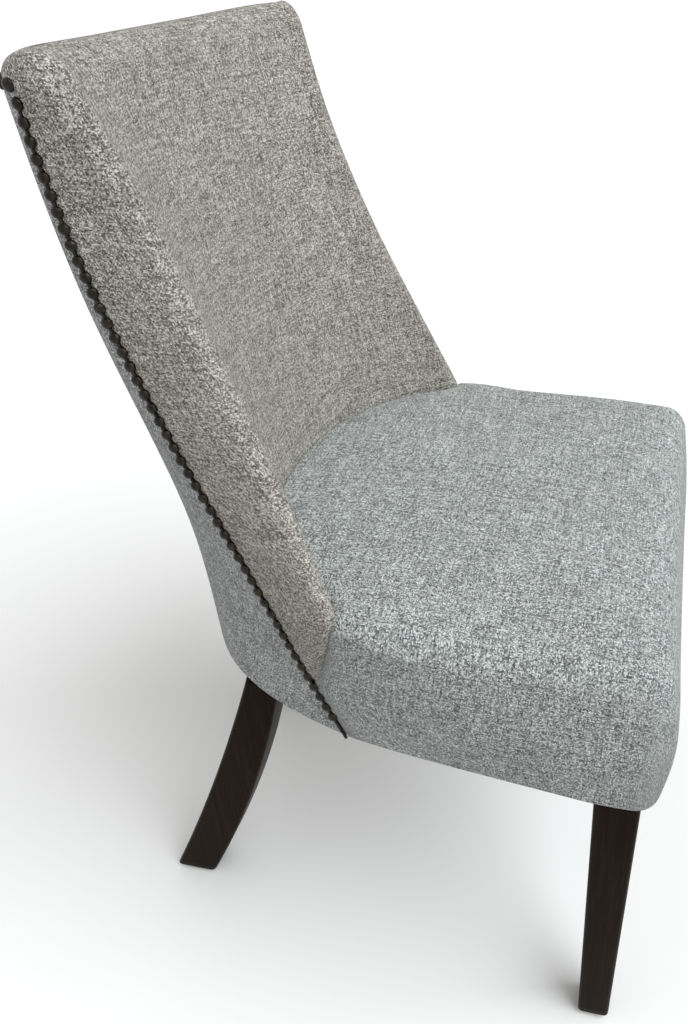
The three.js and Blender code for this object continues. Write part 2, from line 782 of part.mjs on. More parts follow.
// Seat foam and the fabric over it, which turns under the rails
const backKeepOut = backBody(-clearance, seatBottom - overrun);
const seatFoam = seatBody(padInset, seatBottom + padInset)
  .subtract(layer(-overrun, foamBottom))
  .subtract(backKeepOut);
const underOpening = planSolid(turnUnder, seatBottom - overrun, seatBottom + 2 * fabric);
const seatCover = seatBody(0, seatBottom)
  .subtract(seatBody(fabric, seatBottom + fabric))
  .subtract(underOpening)
  .subtract(backKeepOut);

// Dust cover tacked under the seat, notched round the legs
const dustInset = turnUnder / 3;
const dustCover = planSolid(dustInset, seatBottom - clearance - dustCoverThickness, seatBottom - clearance)
  .subtract(legBody(frontLegPath, 1, clearance))
  .subtract(legBody(rearLegPath, 1, clearance))
  .subtract(toSolid(mirrored(toGeometry(legBody(frontLegPath, 1, clearance)))))
  .subtract(toSolid(mirrored(toGeometry(legBody(rearLegPath, 1, clearance)))));

// Frame of the back: a post in each wing, curved rails between them
const postFrontShares = [[0, 0.691], [0.3, 0.706], [0.62, 0.752], [0.85, 0.828], [1.1, 0.888]];
const postBehind = 14;
const postFoot = railTop + clearance;
const frameTopSetback = 12;
const frameTop = backTop - frameInset - frameTopSetback;
function frameZone(extra) {
  const zone = insideOfOutside(frameInset - extra);
  return zone
    .subtract(insideOfOutside(backStrapInset - clearance + extra))
    .subtract(sitterSpace(frameInset - extra));
}
const postFrontLine = postFrontShares.map(([rise, depth]) => [
  depth * rearDepthHigh,
  lerp(postFoot, frameTop, rise),
]);
function aheadOfPosts(shift) {
  const line = postFrontLine.map(([depth, height]) => [depth + shift, height]);
  const foot = postFoot - overrun;
  return sidePrism([[line[0][0], foot], ...line, [-overrun, line.at(-1)[1]], [-overrun, foot]]);
}
const postRearLow = 404;
function postBand(shift) {
  const line = [];
  for (let i = 0; i <= outlineSteps; i += 1) {
    const z = lerp(postFoot, backTop, i / outlineSteps);
    line.push([Math.max(nailLine(z).y + postBehind, postRearLow) + shift, z]);
  }
  line.push([-overrun, backTop]);
  line.push([-overrun, postFoot - overrun], [line[0][0], postFoot - overrun]);
  return sidePrism(line);
}
const frameBody = frameZone(0).subtract(aheadOfPosts(0)).intersect(layer(postFoot, frameTop));
const postPair = frameBody.intersect(postBand(0));
const railBody = frameBody.subtract(postBand(clearance));
const backRailSpans = {
  lower_back_rail: [0.16, 0.27],
  middle_back_rail: [0.52, 0.62],
  crest_rail: [0.86, 1],
};

// Webbing straps of the back, on the front of its rails
const backStrapShares = [-0.38, 0, 0.38];
const backStrapZone = insideOfOutside(backStrapInset)
  .subtract(insideOfOutside(backStrapInset + strapThickness))
  .subtract(sitterSpace(0));
const backStraps = backStrapShares.map((share) => {
  const x = share * seatHalf;
  const low = lerp(postFoot, frameTop, backRailSpans.lower_back_rail[0]);
  return backStrapZone
    .intersect(planBox(x - strapWidth / 2, x + strapWidth / 2, faceDepthLow, 2 * seatWidth))
    .subtract(layer(-overrun, low))
    .subtract(layer(frameTop, 2 * backTop));
});

// Back foam, the panel behind the frame and the two fabric covers
const behindPanel = insideOfOutside(frameInset);
function outsideZone(shift) {
  return behindNailLine(shift).subtract(behindPanel);
}
const backFoam = backBody(padInset, seatBottom + padInset)
  .subtract(insideOfOutside(frameInset - clearance)
    .subtract(insideOfOutside(foamInset))
    .subtract(sitterSpace(frameInset - clearance))
    .subtract(aheadOfPosts(-clearance))
    .intersect(layer(-overrun, frameTop + clearance)))
  .subtract(outsideZone(-clearance))
  .subtract(layer(-overrun, foamBottom + clearance));
const backPanel = backBody(boardInset, seatBottom + boardInset)
  .subtract(insideOfOutside(boardInset + boardThickness))
  .intersect(outsideZone(clearance))
  .subtract(layer(-overrun, railTop + clearance))
  .subtract(layer(nailTop - overrun / 4, 2 * backTop));
const backSkin = backBody(0, seatBottom).subtract(backBody(fabric, seatBottom + fabric));
const railPocket = insideOfOutside(fabric).intersect(layer(seatBottom + fabric, foamBottom + clearance));
const rearHem = behindNailLine(0)
  .subtract(insideOfOutside(turnUnder))
  .intersect(layer(-overrun, seatBottom + fabric));
const outsideCover = backSkin.intersect(outsideZone(0).add(rearHem)).subtract(railPocket);
const insideCover = backSkin
  .subtract(outsideZone(-clearance))
  .subtract(layer(-overrun, wingTip))
  .subtract(railPocket);

// Beaded trim: a half-round strip that swells into a bead at each pitch
const beadArcShares = [[-1, 0], [-0.72, 0.78], [0, 1], [0.72, 0.78], [1, 0]];
const beadFlankShare = 0.86;
function beadedStrip(path, normalAt, plainLength = 0) {
  const length = path.getLength();
  const rings = [];
  const ringAt = (distance, radius, height) => {
    const u = clamp(distance / length, 0, 1);
    const at = path.getPointAt(u);
    const along = path.getTangentAt(u);
    const up = normalAt(at, along);
    const across = new THREE.Vector3().crossVectors(along, up);
    rings.push(beadArcShares.map(([w, h]) => at.clone()
      .addScaledVector(across, w * radius)
      .addScaledVector(up, trimLift + h * height)));
  };
  const count = Math.round((length - plainLength) / beadPitch);
  const pitch = (length - plainLength) / count;
  const flank = pitch / 5;
  ringAt(0, neckRadius, neckHeight);
  for (let i = 0; i < count; i += 1) {
    const start = plainLength + i * pitch;
    if (start > 0) {
      ringAt(start, neckRadius, neckHeight);
    }
    ringAt(start + pitch / 2 - flank, beadFlankShare * beadRadius, beadFlankShare * beadHeight);
    ringAt(start + pitch / 2 + flank, beadFlankShare * beadRadius, beadFlankShare * beadHeight);
  }
  ringAt(length, neckRadius, neckHeight);
  return loft(rings);
}

// Path along the flats of a surface
function straightPath(points) {
  const path = new THREE.CurvePath();
  for (let i = 1; i < points.length; i += 1) {
    path.add(new THREE.LineCurve3(points[i - 1], points[i]));
  }
  return path;
}

// Side run of the trim, plain at its foot
const trimPlainLength = 21;
const trimPath = straightPath([...backHeights, nailTop].map((z) => {
  const line = nailLine(z);
  return new THREE.Vector3(line.x, line.y, z);
}));
const sideTrim = beadedStrip(trimPath, (at, along) => {
  const plan = wingSide(at.z).getTangent(1).add(outsideBack(at.z).getTangent(0)).normalize();
  return new THREE.Vector3(plan.x, plan.y, 0).cross(along).normalize();
}, trimPlainLength);

// Top run of the trim, round the rear of the crest between the two side runs
const topHalf = outsideBack(nailTop).getPoints(rearSteps).map((p) => new THREE.Vector3(p.x, p.y, nailTop));
topHalf[0].lerp(topHalf[1], (beadRadius + clearance) / topHalf[0].distanceTo(topHalf[1]));
const topTrimPath = straightPath([
  ...topHalf,
  ...topHalf.slice(0, -1).reverse().map((p) => new THREE.Vector3(-p.x, p.y, p.z)),
]);
const upright = new THREE.Vector3(0, 0, 1);
const topTrim = beadedStrip(topTrimPath, (at, along) => along.clone().cross(upright).normalize());

// Surface finishes: colour, roughness, metalness
const finishes = {
  coolFabric: [0x9b9da1, 0.95, 0],
  warmFabric: [0xa19d98, 0.95, 0],
  trimMetal: [0x1d1916, 0.4, 0.8],
  darkWood: [0x1e1512, 0.45, 0],
  frameWood: [0xb89a6e, 0.7, 0],
  foam: [0xe9dfc2, 0.95, 0],
  panelBoard: [0x9c7b54, 0.85, 0],
  webbing: [0x8f7a58, 0.9, 0],
  blackCloth: [0x1c1c1e, 0.95, 0],
  zincSteel: [0xa4a6a8, 0.35, 1],
  glidePlastic: [0x232221, 0.55, 0],
};

const chair = new THREE.Group();
chair.name = 'parsons_chair';

function addPart(name, shape, finish) {
  const geometry = shape.isBufferGeometry ? shape : toGeometry(shape);
  const [color, roughness, metalness] = finishes[finish];
  const mesh = new THREE.Mesh(geometry, new THREE.MeshStandardMaterial({ color, roughness, metalness }));
  mesh.name = name;
  chair.add(mesh);
}

// The sitter's left is +X, and the right-hand piece mirrors it
function addPair(name, shape, finish) {
  const geometry = shape.isBufferGeometry ? shape : toGeometry(shape);
  addPart(`${name}_left`, geometry, finish);
  addPart(`${name}_right`, mirrored(geometry), finish);
}

// Legs with their glides and hanger studs
const legSets = [
  { at: 'front', path: frontLegPath, steps: 1, stud: frontStud, diagonal: radians(135) },
  { at: 'rear', path: rearLegPath, steps: 6, stud: rearStud, diagonal: radians(212) },
];
for (const { at, path, steps, stud, diagonal } of legSets) {
  const foot = path(1).middle;
  const leg = legBody(path, steps).subtract(studBody(stud, clearance)).subtract(glideBore(foot));
  addPair(`${at}_leg`, leg, 'darkWood');
  addPair(`${at}_glide`, glide(foot), 'glidePlastic');
  addPair(`${at}_hanger_stud`, studBody(stud, 0), 'zincSteel');
  addPair(`${at}_stud_nut`, nutBody(stud), 'zincSteel');
  addPair(`${at}_corner_block`, cornerBlock(stud, diagonal, stud), 'frameWood');
}

// Seat frame, webbing, foam, cover and dust cover
addPart('front_rail', frontRail, 'frameWood');
addPair('side_rail', sideRail, 'frameWood');
addPart('rear_rail', rearRail, 'frameWood');
crossStraps.forEach((strap, i) => addPart(`seat_cross_strap_${i + 1}`, strap, 'webbing'));
lengthStraps.forEach((strap, i) => addPart(`seat_length_strap_${i + 1}`, strap, 'webbing'));
addPart('seat_foam', seatFoam, 'foam');
addPart('seat_cover', seatCover, 'coolFabric');
addPart('dust_cover', dustCover, 'blackCloth');

// Back frame, webbing, foam, panel and covers
addPair('back_post', postPair.intersect(halfSpace(1)), 'frameWood');
for (const [name, [low, high]] of Object.entries(backRailSpans)) {
  const span = layer(lerp(postFoot, frameTop, low), lerp(postFoot, frameTop, high));
  addPart(name, railBody.intersect(span), 'frameWood');
}
backStraps.forEach((strap, i) => addPart(`back_strap_${i + 1}`, strap, 'webbing'));
addPart('back_foam', backFoam, 'foam');
addPart('back_panel', backPanel, 'panelBoard');
addPart('inside_back_cover', insideCover, 'warmFabric');
addPart('outside_back_cover', outsideCover, 'coolFabric');

// Beaded trim
addPair('nail_trim', sideTrim, 'trimMetal');
addPart('nail_trim_top', topTrim, 'trimMetal');

// Centre the chair over the origin
const extent = new THREE.Box3().setFromObject(chair);
chair.position.y = -(extent.min.y + extent.max.y) / 2;

export default chair;
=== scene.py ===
import math

import bmesh
import bpy
from mathutils import Matrix, Vector


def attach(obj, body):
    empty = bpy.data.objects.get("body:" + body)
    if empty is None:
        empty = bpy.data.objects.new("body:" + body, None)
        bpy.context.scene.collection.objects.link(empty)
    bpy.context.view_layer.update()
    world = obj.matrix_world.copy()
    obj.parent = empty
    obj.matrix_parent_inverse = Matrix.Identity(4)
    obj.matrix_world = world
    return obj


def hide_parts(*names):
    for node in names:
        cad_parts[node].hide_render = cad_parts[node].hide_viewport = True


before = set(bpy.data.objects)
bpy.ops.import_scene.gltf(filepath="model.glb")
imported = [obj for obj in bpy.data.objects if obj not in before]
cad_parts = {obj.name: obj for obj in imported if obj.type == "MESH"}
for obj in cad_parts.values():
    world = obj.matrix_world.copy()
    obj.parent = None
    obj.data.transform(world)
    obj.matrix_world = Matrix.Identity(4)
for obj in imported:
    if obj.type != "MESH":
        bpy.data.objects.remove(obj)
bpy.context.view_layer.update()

# Legs
# Four lacquered hardwood legs, nearly black. The front pair are square and taper to the
# floor, the rear pair are sawn to a sweep; sanding has eased their edges.
chair_centre = 0.283787
seat_bottom = 0.355
leg_top = 0.3547
leg_foot = 0.0043
leg_foot_easing = ((0.0, 0.003), (0.0008, 0.0016), (0.002, 0.0005))
leg_foot_ease = 0.003
leg_edge_round = 0.005
leg_steps = 40
leg_corner_steps = 6
front_leg_halves = (0.2195, 0.226)
front_leg_depth = 0.040
front_leg_widths = (0.043, 0.033)
rear_leg_half = 0.148
rear_leg_depths = (0.411, 0.545)
rear_leg_bow = 0.009
rear_leg_breadths = (0.036, 0.050)
rear_leg_swell = 0.006
rear_leg_thickness = 0.040
leg_corners = [(pair, side) for pair in ("front", "rear") for side in ("left", "right")]


def lerp(a, b, t):
    return a + (b - a) * t


def clamp(value, low, high):
    return max(low, min(value, high))


def place(point, height):
    """Point of a plan, whose depth counts from the seat's front edge, at a height in the frame"""
    return Vector((point[0], point[1] - chair_centre, height))


def unrolled(rings):
    """Where each point lies on the flat material: round its ring, both ways from the first, and up"""
    count = len(rings[0])
    around = []
    for ring in rings:
        run = [0.0]
        for i in range(count):
            run.append(run[-1] + (ring[(i + 1) % count] - ring[i]).length)
        around.append(run)
    up = [0.0]
    for low, high in zip(rings, rings[1:]):
        up.append(up[-1] + sum((b - a).length for a, b in zip(low, high)) / count)

    def lay(row, column, after):
        run = around[row]
        return (run[column] - (run[-1] if after else 0.0), up[row])

    return lay


def skin(name, rings, lay, caps=("fan", "fan")):
    """Smooth mesh over rings of equally many points, each end closed by a fan, pairs or a strip"""
    count = len(rings[0])
    half = count // 2
    mesh = bpy.data.meshes.new(name)
    bm = bmesh.new()
    cloth = bm.loops.layers.uv.new("weave")
    rows = [[bm.verts.new(p) for p in ring] for ring in rings]

    def face(corners):
        kept = []
        for vert, uv in corners:
            if all(vert is not other for other, _ in kept):
                kept.append((vert, uv))
        if len(kept) > 2:
            made = bm.faces.new([vert for vert, _ in kept])
            made.smooth = True
            for loop, (_, uv) in zip(made.loops, kept):
                loop[cloth].uv = uv

    def corner(row, column, after):
        return rows[row][column % count], lay(row, column, after)

    for row in range(len(rings) - 1):
        for i in range(count):
            after = i >= half
            face([
                corner(row, i, after),
                corner(row, i + 1, after),
                corner(row + 1, i + 1, after),
                corner(row + 1, i, after),
            ])
    for kind, row in zip(caps, (0, len(rings) - 1)):
        if kind == "fan":
            middle = sum(rings[row], Vector()) / count
            hub = bm.verts.new(middle)
            spots = [lay(row, i, i >= half) for i in range(count)]
            spot = [sum(uv[k] for uv in spots) / count for k in (0, 1)]
            for i in range(count):
                face([corner(row, i, i >= half), corner(row, i + 1, i >= half), (hub, spot)])
        elif kind == "pairs":
            for i in range(half // 2):
                for way in (1, -1):
                    ends = []
                    for k in (i, i + 1):
                        near = k if way > 0 or k == 0 else count - k
                        far = half - k if way > 0 else half + k
                        u, v = lay(row, near, way < 0 and near > 0)
                        width = (rings[row][near] - rings[row][far]).length
                        ends.append(((rows[row][near], (u, v)), (rows[row][far], (u, v + width))))
                    face([ends[0][0], ends[1][0], ends[1][1], ends[0][1]])
        elif kind == "strip":
            for i in range(half - 1):
                face([corner(row, k, k >= half) for k in (i, i + 1, count - 2 - i, count - 1 - i)])
    bmesh.ops.recalc_face_normals(bm, faces=bm.faces)
    bm.to_mesh(mesh)
    bm.free()
    piece = bpy.data.objects.new(name, mesh)
    bpy.context.scene.collection.objects.link(piece)
    return piece


def fit(piece, material, slot, *nodes):
    """Gives a finished piece its material and its place on the chair"""
    piece.data.materials.append(material)
    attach(piece, "root")
    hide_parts(*nodes)


def new_node(tree, kind, inputs=None, **settings):
    """Node whose inputs are other nodes' outputs or plain values, by name or by number"""
    made = tree.nodes.new(kind)
    for name, value in settings.items():
        setattr(made, name, value)
    for name, value in (inputs or {}).items():
        if isinstance(value, bpy.types.NodeSocket):
            tree.links.new(value, made.inputs[name])
        else:
            made.inputs[name].default_value = value
    return made


def sums(tree, operation, first, second=0.0):
    """One step of arithmetic on two values"""
    return new_node(tree, "ShaderNodeMath", {0: first, 1: second}, operation=operation).outputs[0]


def start_material(name, roughness, **sockets):
    """New material with the shader's plain values set, its node tree and its shader"""
    material = bpy.data.materials.new(name)
    material.use_nodes = True
    shader = material.node_tree.nodes["Principled BSDF"]
    shader.inputs["Roughness"].default_value = roughness
    for socket, value in sockets.items():
        shader.inputs[socket.replace("_", " ")].default_value = value
    return material, material.node_tree, shader


def ramp(tree, factor, stops):
    """Colour that runs through the stops as the factor rises"""
    made = new_node(tree, "ShaderNodeValToRGB", {"Fac": factor})
    band = made.color_ramp
    while len(band.elements) < len(stops):
        band.elements.new(0.5)
    for element, (position, colour) in zip(band.elements, stops):
        element.position = position
        element.color = (*colour, 1.0)
    return made.outputs["Color"]


def lumber(name, dark, light, roughness, grain_scale, relief, **sockets):
    """Wood with fine grain, drawn out the way that has the smallest number in grain_scale"""
    material, tree, shader = start_material(name, roughness, **sockets)
    spot = new_node(tree, "ShaderNodeTexCoord").outputs["Object"]
    stretched = new_node(tree, "ShaderNodeMapping", {"Vector": spot, "Scale": grain_scale}).outputs[0]
    growth = new_node(tree, "ShaderNodeTexNoise", {
        "Vector": stretched, "Scale": 1.0, "Detail": 6.0, "Roughness": 0.62, "Distortion": 0.6,
    }).outputs["Fac"]
    between = [lerp(a, b, 0.35) for a, b in zip(dark, light)]
    colour = ramp(tree, growth, [(0.3, dark), (0.52, between), (0.78, light)])
    tree.links.new(colour, shader.inputs["Base Color"])
    sheen_noise = new_node(tree, "ShaderNodeTexNoise", {"Vector": spot, "Scale": 40.0, "Detail": 3.0})
    shine = new_node(tree, "ShaderNodeMapRange", {
        "Value": sheen_noise.outputs["Fac"], "To Min": roughness - 0.06, "To Max": roughness + 0.08,
    }).outputs[0]
    tree.links.new(shine, shader.inputs["Roughness"])
    bump = new_node(tree, "ShaderNodeBump", {"Height": growth, "Strength": relief, "Distance": 0.0004})
    tree.links.new(bump.outputs[0], shader.inputs["Normal"])
    return material


espresso = lumber(
    "espresso_lacquer", (0.007, 0.0036, 0.0018), (0.024, 0.0135, 0.0075), 0.36, (260, 260, 9), 0.25,
    Specular_IOR_Level=0.03, Specular_Tint=(1.0, 0.8, 0.62, 1.0),
)


def leg_ring(middle, width, breadth, height, ease=0.0):
    """Rounded square round a point of the leg's middle line"""
    ring = []
    for corner in range(4):
        towards = (corner + 0.5) * math.pi / 2
        hub_x = middle[0] + math.copysign(width / 2 - leg_edge_round - ease, math.cos(towards))
        hub_y = middle[1] + math.copysign(breadth / 2 - leg_edge_round - ease, math.sin(towards))
        for step in range(leg_corner_steps + 1):
            turn = corner * math.pi / 2 + step / leg_corner_steps * math.pi / 2
            spoke = (hub_x + leg_edge_round * math.cos(turn), hub_y + leg_edge_round * math.sin(turn))
            ring.append(place(spoke, height))
    return ring


def front_leg_at(t):
    """Middle, width and breadth of a front leg, from its top at 0 to its foot at 1"""
    width = lerp(*front_leg_widths, t)
    return (lerp(*front_leg_halves, t), front_leg_depth), width, width


def rear_leg_at(t):
    """Middle, thickness and breadth of a rear leg, from its top at 0 to its foot at 1"""
    belly = 4 * t * (1 - t)
    depth = lerp(*rear_leg_depths, t) - rear_leg_bow * belly
    return (rear_leg_half, depth), rear_leg_thickness, lerp(*rear_leg_breadths, t) + rear_leg_swell * belly


for pair, leg_at in (("front", front_leg_at), ("rear", rear_leg_at)):
    for side, sign in (("left", 1), ("right", -1)):
        rings = []
        for rise, ease in leg_foot_easing:
            rings.append(leg_ring(*leg_at(1.0), leg_foot + rise, ease))
        for i in range(leg_steps + 1):
            t = 1 - i / leg_steps
            rings.append(leg_ring(*leg_at(t), lerp(leg_top, leg_foot + leg_foot_ease, t)))
        rings = [[Vector((sign * p.x, p.y, p.z)) for p in ring] for ring in rings]
        leg = skin(f"{pair}_{side}_wooden_leg", rings, unrolled(rings))
        fit(leg, espresso, "dark_wood", f"{pair}_leg_{side}")

# Floor glides
# Nylon discs under the legs, each held by its own steel pin, which is driven into the
# end grain. They keep the lacquer off the floor.
nylon, tree, shader = start_material("glide_nylon", 0.5)
spot = new_node(tree, "ShaderNodeTexCoord").outputs["Object"]
scuffs = new_node(tree, "ShaderNodeTexNoise", {"Vector": spot, "Scale": 900.0, "Detail": 4.0}).outputs["Fac"]
tone = ramp(tree, scuffs, [(0.35, (0.012, 0.0115, 0.011)), (0.75, (0.032, 0.031, 0.029))])
tree.links.new(tone, shader.inputs["Base Color"])
bump = new_node(tree, "ShaderNodeBump", {"Height": scuffs, "Strength": 0.3, "Distance": 0.0002})
tree.links.new(bump.outputs[0], shader.inputs["Normal"])


def dress(material, *nodes):
    """Puts a material on nodes of the frame that keep their own shape"""
    for name in nodes:
        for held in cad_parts[name].material_slots:
            held.material = material


dress(nylon, *[f"{pair}_glide_{side}" for pair, side in leg_corners])

# Seat frame
# Four rails of plain sawn hardwood round the seat, doweled and glued, with a block glued
# and screwed across each corner to take the leg's stud. The covering hides all of it.
sawn_wood = lumber(
    "sawn_frame_wood", (0.3, 0.18, 0.08), (0.56, 0.4, 0.22), 0.72, (60, 60, 60), 0.4,
)
dress(sawn_wood, "front_rail", "side_rail_left", "side_rail_right", "rear_rail")
dress(sawn_wood, *[f"{pair}_corner_block_{side}" for pair, side in leg_corners])

# Hanger studs
# Zinc-plated studs, one half screwed into the leg and the other up through the corner
# block, where a nut draws the leg tight against the frame.
zinc, tree, shader = start_material("zinc_plate", 0.34, Metallic=1.0)
spot = new_node(tree, "ShaderNodeTexCoord").outputs["Object"]
spangle = new_node(tree, "ShaderNodeTexVoronoi", {"Vector": spot, "Scale": 420.0}).outputs["Distance"]
tone = ramp(tree, spangle, [(0.1, (0.3, 0.31, 0.33)), (0.8, (0.46, 0.47, 0.48))])
tree.links.new(tone, shader.inputs["Base Color"])
for pair, side in leg_corners:
    dress(zinc, f"{pair}_hanger_stud_{side}", f"{pair}_stud_nut_{side}")

# Seat webbing
# Woven straps stretched across the rails and interlaced, tacked at both ends. They carry
# the foam, and stay out of sight between it and the dust cover.
webbing, tree, shader = start_material("webbing", 0.9)
spot = new_node(tree, "ShaderNodeTexCoord").outputs["Object"]
rib_inputs = {"Vector": spot, "Scale": 180.0, "Distortion": 0.4}
ribs = new_node(tree, "ShaderNodeTexWave", rib_inputs)
cords = new_node(tree, "ShaderNodeTexWave", rib_inputs, bands_direction="Y")
lattice = sums(tree, "MULTIPLY", ribs.outputs["Fac"], cords.outputs["Fac"])
tone = ramp(tree, lattice, [(0.0, (0.16, 0.11, 0.055)), (0.8, (0.34, 0.25, 0.13))])
tree.links.new(tone, shader.inputs["Base Color"])
bump = new_node(tree, "ShaderNodeBump", {"Height": lattice, "Strength": 0.6, "Distance": 0.0006})
tree.links.new(bump.outputs[0], shader.inputs["Normal"])
dress(webbing, *[f"seat_{way}_strap_{i}" for way in ("cross", "length") for i in (1, 2, 3)])

# Seat cushion
# Thick foam on the webbing, under one grey tweed cover that is pulled over the edges and
# tacked under the rails. It has no welt: the front and sides are plain rolled edges.
seat_half = 0.251
seat_top = 0.512
seat_crown = 0.007
seat_pitch = 0.008
seat_front_round = 0.040
seat_side_round = 0.019
seat_corner_round = 0.025
front_undercut = 0.003
front_undercut_power = 1.5
side_undercut = 0.002
side_puff = 0.003
front_puff = 0.004
side_start = 0.060
side_leads = (0.085, 0.130)
side_lean = 0.009
side_tails = (0.040, 0.075)
side_tail_angles = (14, 28)
back_top = 0.950
wing_foot = 0.511
wing_tip = 0.418
wing_rise = back_top - wing_foot
wing_front_radii = (0.008, 0.018)
wing_half_shares = (0.9, 0.815, 0.755, 0.738, 0.812)
wing_depth_shares = (0.542, 0.625, 0.709, 0.781, 0.848)
rear_depths = (0.510, 0.541)
face_depths = (0.425, 0.495)
face_angles = (24, 42)
face_lead_share = 0.5
face_tail_share = 0.6
lumbar_puff = 0.006
nail_top = 0.932
nail_rise = nail_top - seat_bottom
nail_halves = (0.220, 0.214)
nail_depths = (0.300, 0.496)
nail_bow = 0.031
nail_waist = 0.011
nail_sway = 0.009
nail_sway_shares = (0, 0.39, 0.87, 0.94, 0.48, 0.13, -0.12, 0.14, 0.84)
nail_flare_share = 0.3
neck_radius = 0.0026
tuck = 0.0015


def flat(x, y):
    return Vector((x, y))


def bezier(points, t):
    """Point on the curve that the control points draw"""
    while len(points) > 1:
        points = [a.lerp(b, t) for a, b in zip(points, points[1:])]
    return points[0]


def along(points, steps):
    return [bezier(points, i / steps) for i in range(steps + 1)]


def through_shares(shares, t):
    """Smooth curve through shares at equal steps"""
    spans = len(shares) - 1
    span = min(int(clamp(t, 0, 1) * spans), spans - 1)
    u = t * spans - span
    b, c = shares[span], shares[span + 1]
    a = shares[span - 1] if span > 0 else 2 * b - c
    d = shares[span + 2] if span + 2 <= spans else 2 * c - b
    square = (2 * a - 5 * b + 4 * c - d) * u * u
    cube = (3 * b - a - 3 * c + d) * u ** 3
    return b + ((c - a) * u + square + cube) / 2


def nail_line(z):
    """Half width and depth of the nail line on a wing at a height"""
    t = (z - seat_bottom) / nail_rise
    bulge = 4 * t * (1 - t)
    sway = nail_sway * through_shares(nail_sway_shares, t)
    half = lerp(*nail_halves, t) - nail_waist * bulge + nail_flare_share * sway
    return flat(half, lerp(*nail_depths, t) + nail_bow * bulge - sway)


def seat_side(z):
    """Control points of the seat's side in plan, from the front corner back to the nail line"""
    t = clamp((z - seat_bottom) / (seat_top - seat_bottom), 0, 1)
    angle = math.radians(lerp(*side_tail_angles, t))
    tail = lerp(*side_tails, t)
    start = flat(seat_half - side_undercut * (1 - t), side_start)
    end = nail_line(z)
    return [
        start,
        start + flat(lerp(-side_lean, side_puff, t), lerp(*side_leads, t)),
        end + flat(tail * math.sin(angle), -tail * math.cos(angle)),
        end,
    ]


def seat_side_at(z, depth):
    """Point of the seat's side that lies at a depth"""
    curve = seat_side(z)
    low, high = 0.0, 1.0
    for _ in range(24):
        middle = (low + high) / 2
        if bezier(curve, middle).y < depth:
            low = middle
        else:
            high = middle
    return bezier(curve, low)


def wing_edge(z):
    """Radius and centre, in plan, of a wing's rounded front edge"""
    t = (z - wing_foot) / wing_rise
    if t >= 0:
        radius = lerp(*wing_front_radii, t)
        half = through_shares(wing_half_shares, t) * seat_half
        return radius, flat(half, through_shares(wing_depth_shares, t) * rear_depths[1] + radius)
    rise = clamp((z - wing_tip) / (wing_foot - wing_tip), 0, 1)
    radius = lerp(wing_front_radii[0] / 2, wing_front_radii[0], rise)
    tip = nail_line(min(z, wing_tip)).y - neck_radius - wing_front_radii[0] / 2
    depth = lerp(tip, wing_depth_shares[0] * rear_depths[1], rise) + radius
    return radius, flat(seat_side_at(z, depth).x - radius, depth)


def face_angle(z):
    """How far the inside face turns outwards where it meets the wing's rounded edge"""
    return math.radians(lerp(*face_angles, clamp((z - wing_foot) / wing_rise, 0, 1)))


def inside_back(z):
    """Control points of the inside face in plan, from the middle to the wing's rounded edge"""
    t = (z - wing_foot) / wing_rise
    radius, centre = wing_edge(z)
    angle = face_angle(z)
    face = lerp(*face_depths, t) - lumbar_puff * math.sin(math.pi * clamp(t, 0, 1))
    edge = centre - radius * flat(math.cos(angle), math.sin(angle))
    lead = face_lead_share * (face - edge.y)
    return [
        flat(0, face),
        flat(face_tail_share * edge.x, face),
        edge + lead * flat(-math.sin(angle), math.cos(angle)),
        edge,
    ]


def whole_ring(half):
    """Ring of a plan from its half, which runs from the middle plane round to the middle plane"""
    return [*half, *(flat(-p.x, p.y) for p in half[-2:0:-1])]


def inset_ring(ring, distance):
    """Ring moved inwards by one distance, or by one for each of its points"""
    count = len(ring)
    moved = []
    for i, point in enumerate(ring):
        by = distance[i] if hasattr(distance, "__len__") else distance
        one = (point - ring[i - 1]).normalized()
        two = (ring[(i + 1) % count] - point).normalized()
        way = (one + two).normalized()
        moved.append(point + by * flat(-way.y, way.x))
    return moved


front_steps = 14
corner_steps = 9
side_steps = 14
joint_lead = 0.018
joint_rise = 0.03
joint_cover_share = 0.2
joint_depths = (0.009, 0.005, 0.002, 0.0)
joint_insets = (0.0, 0.0007, 0.0022, 0.0045)
tuck_steps = 22
seat_hem = ((0.012, 0.3590), (0.012, 0.3552), (0.006, 0.3552), (0.0025, 0.3556), (0.0008, 0.3566))
wall_foot = 0.359
wall_steps = 14
roll_steps = 9
crown_shares = (0.95, 0.88, 0.8, 0.71, 0.61, 0.5, 0.39, 0.27, 0.14)
rear_roll = (0.006, 0.014)
rear_roll_start = 0.210
rear_roll_run = 0.060


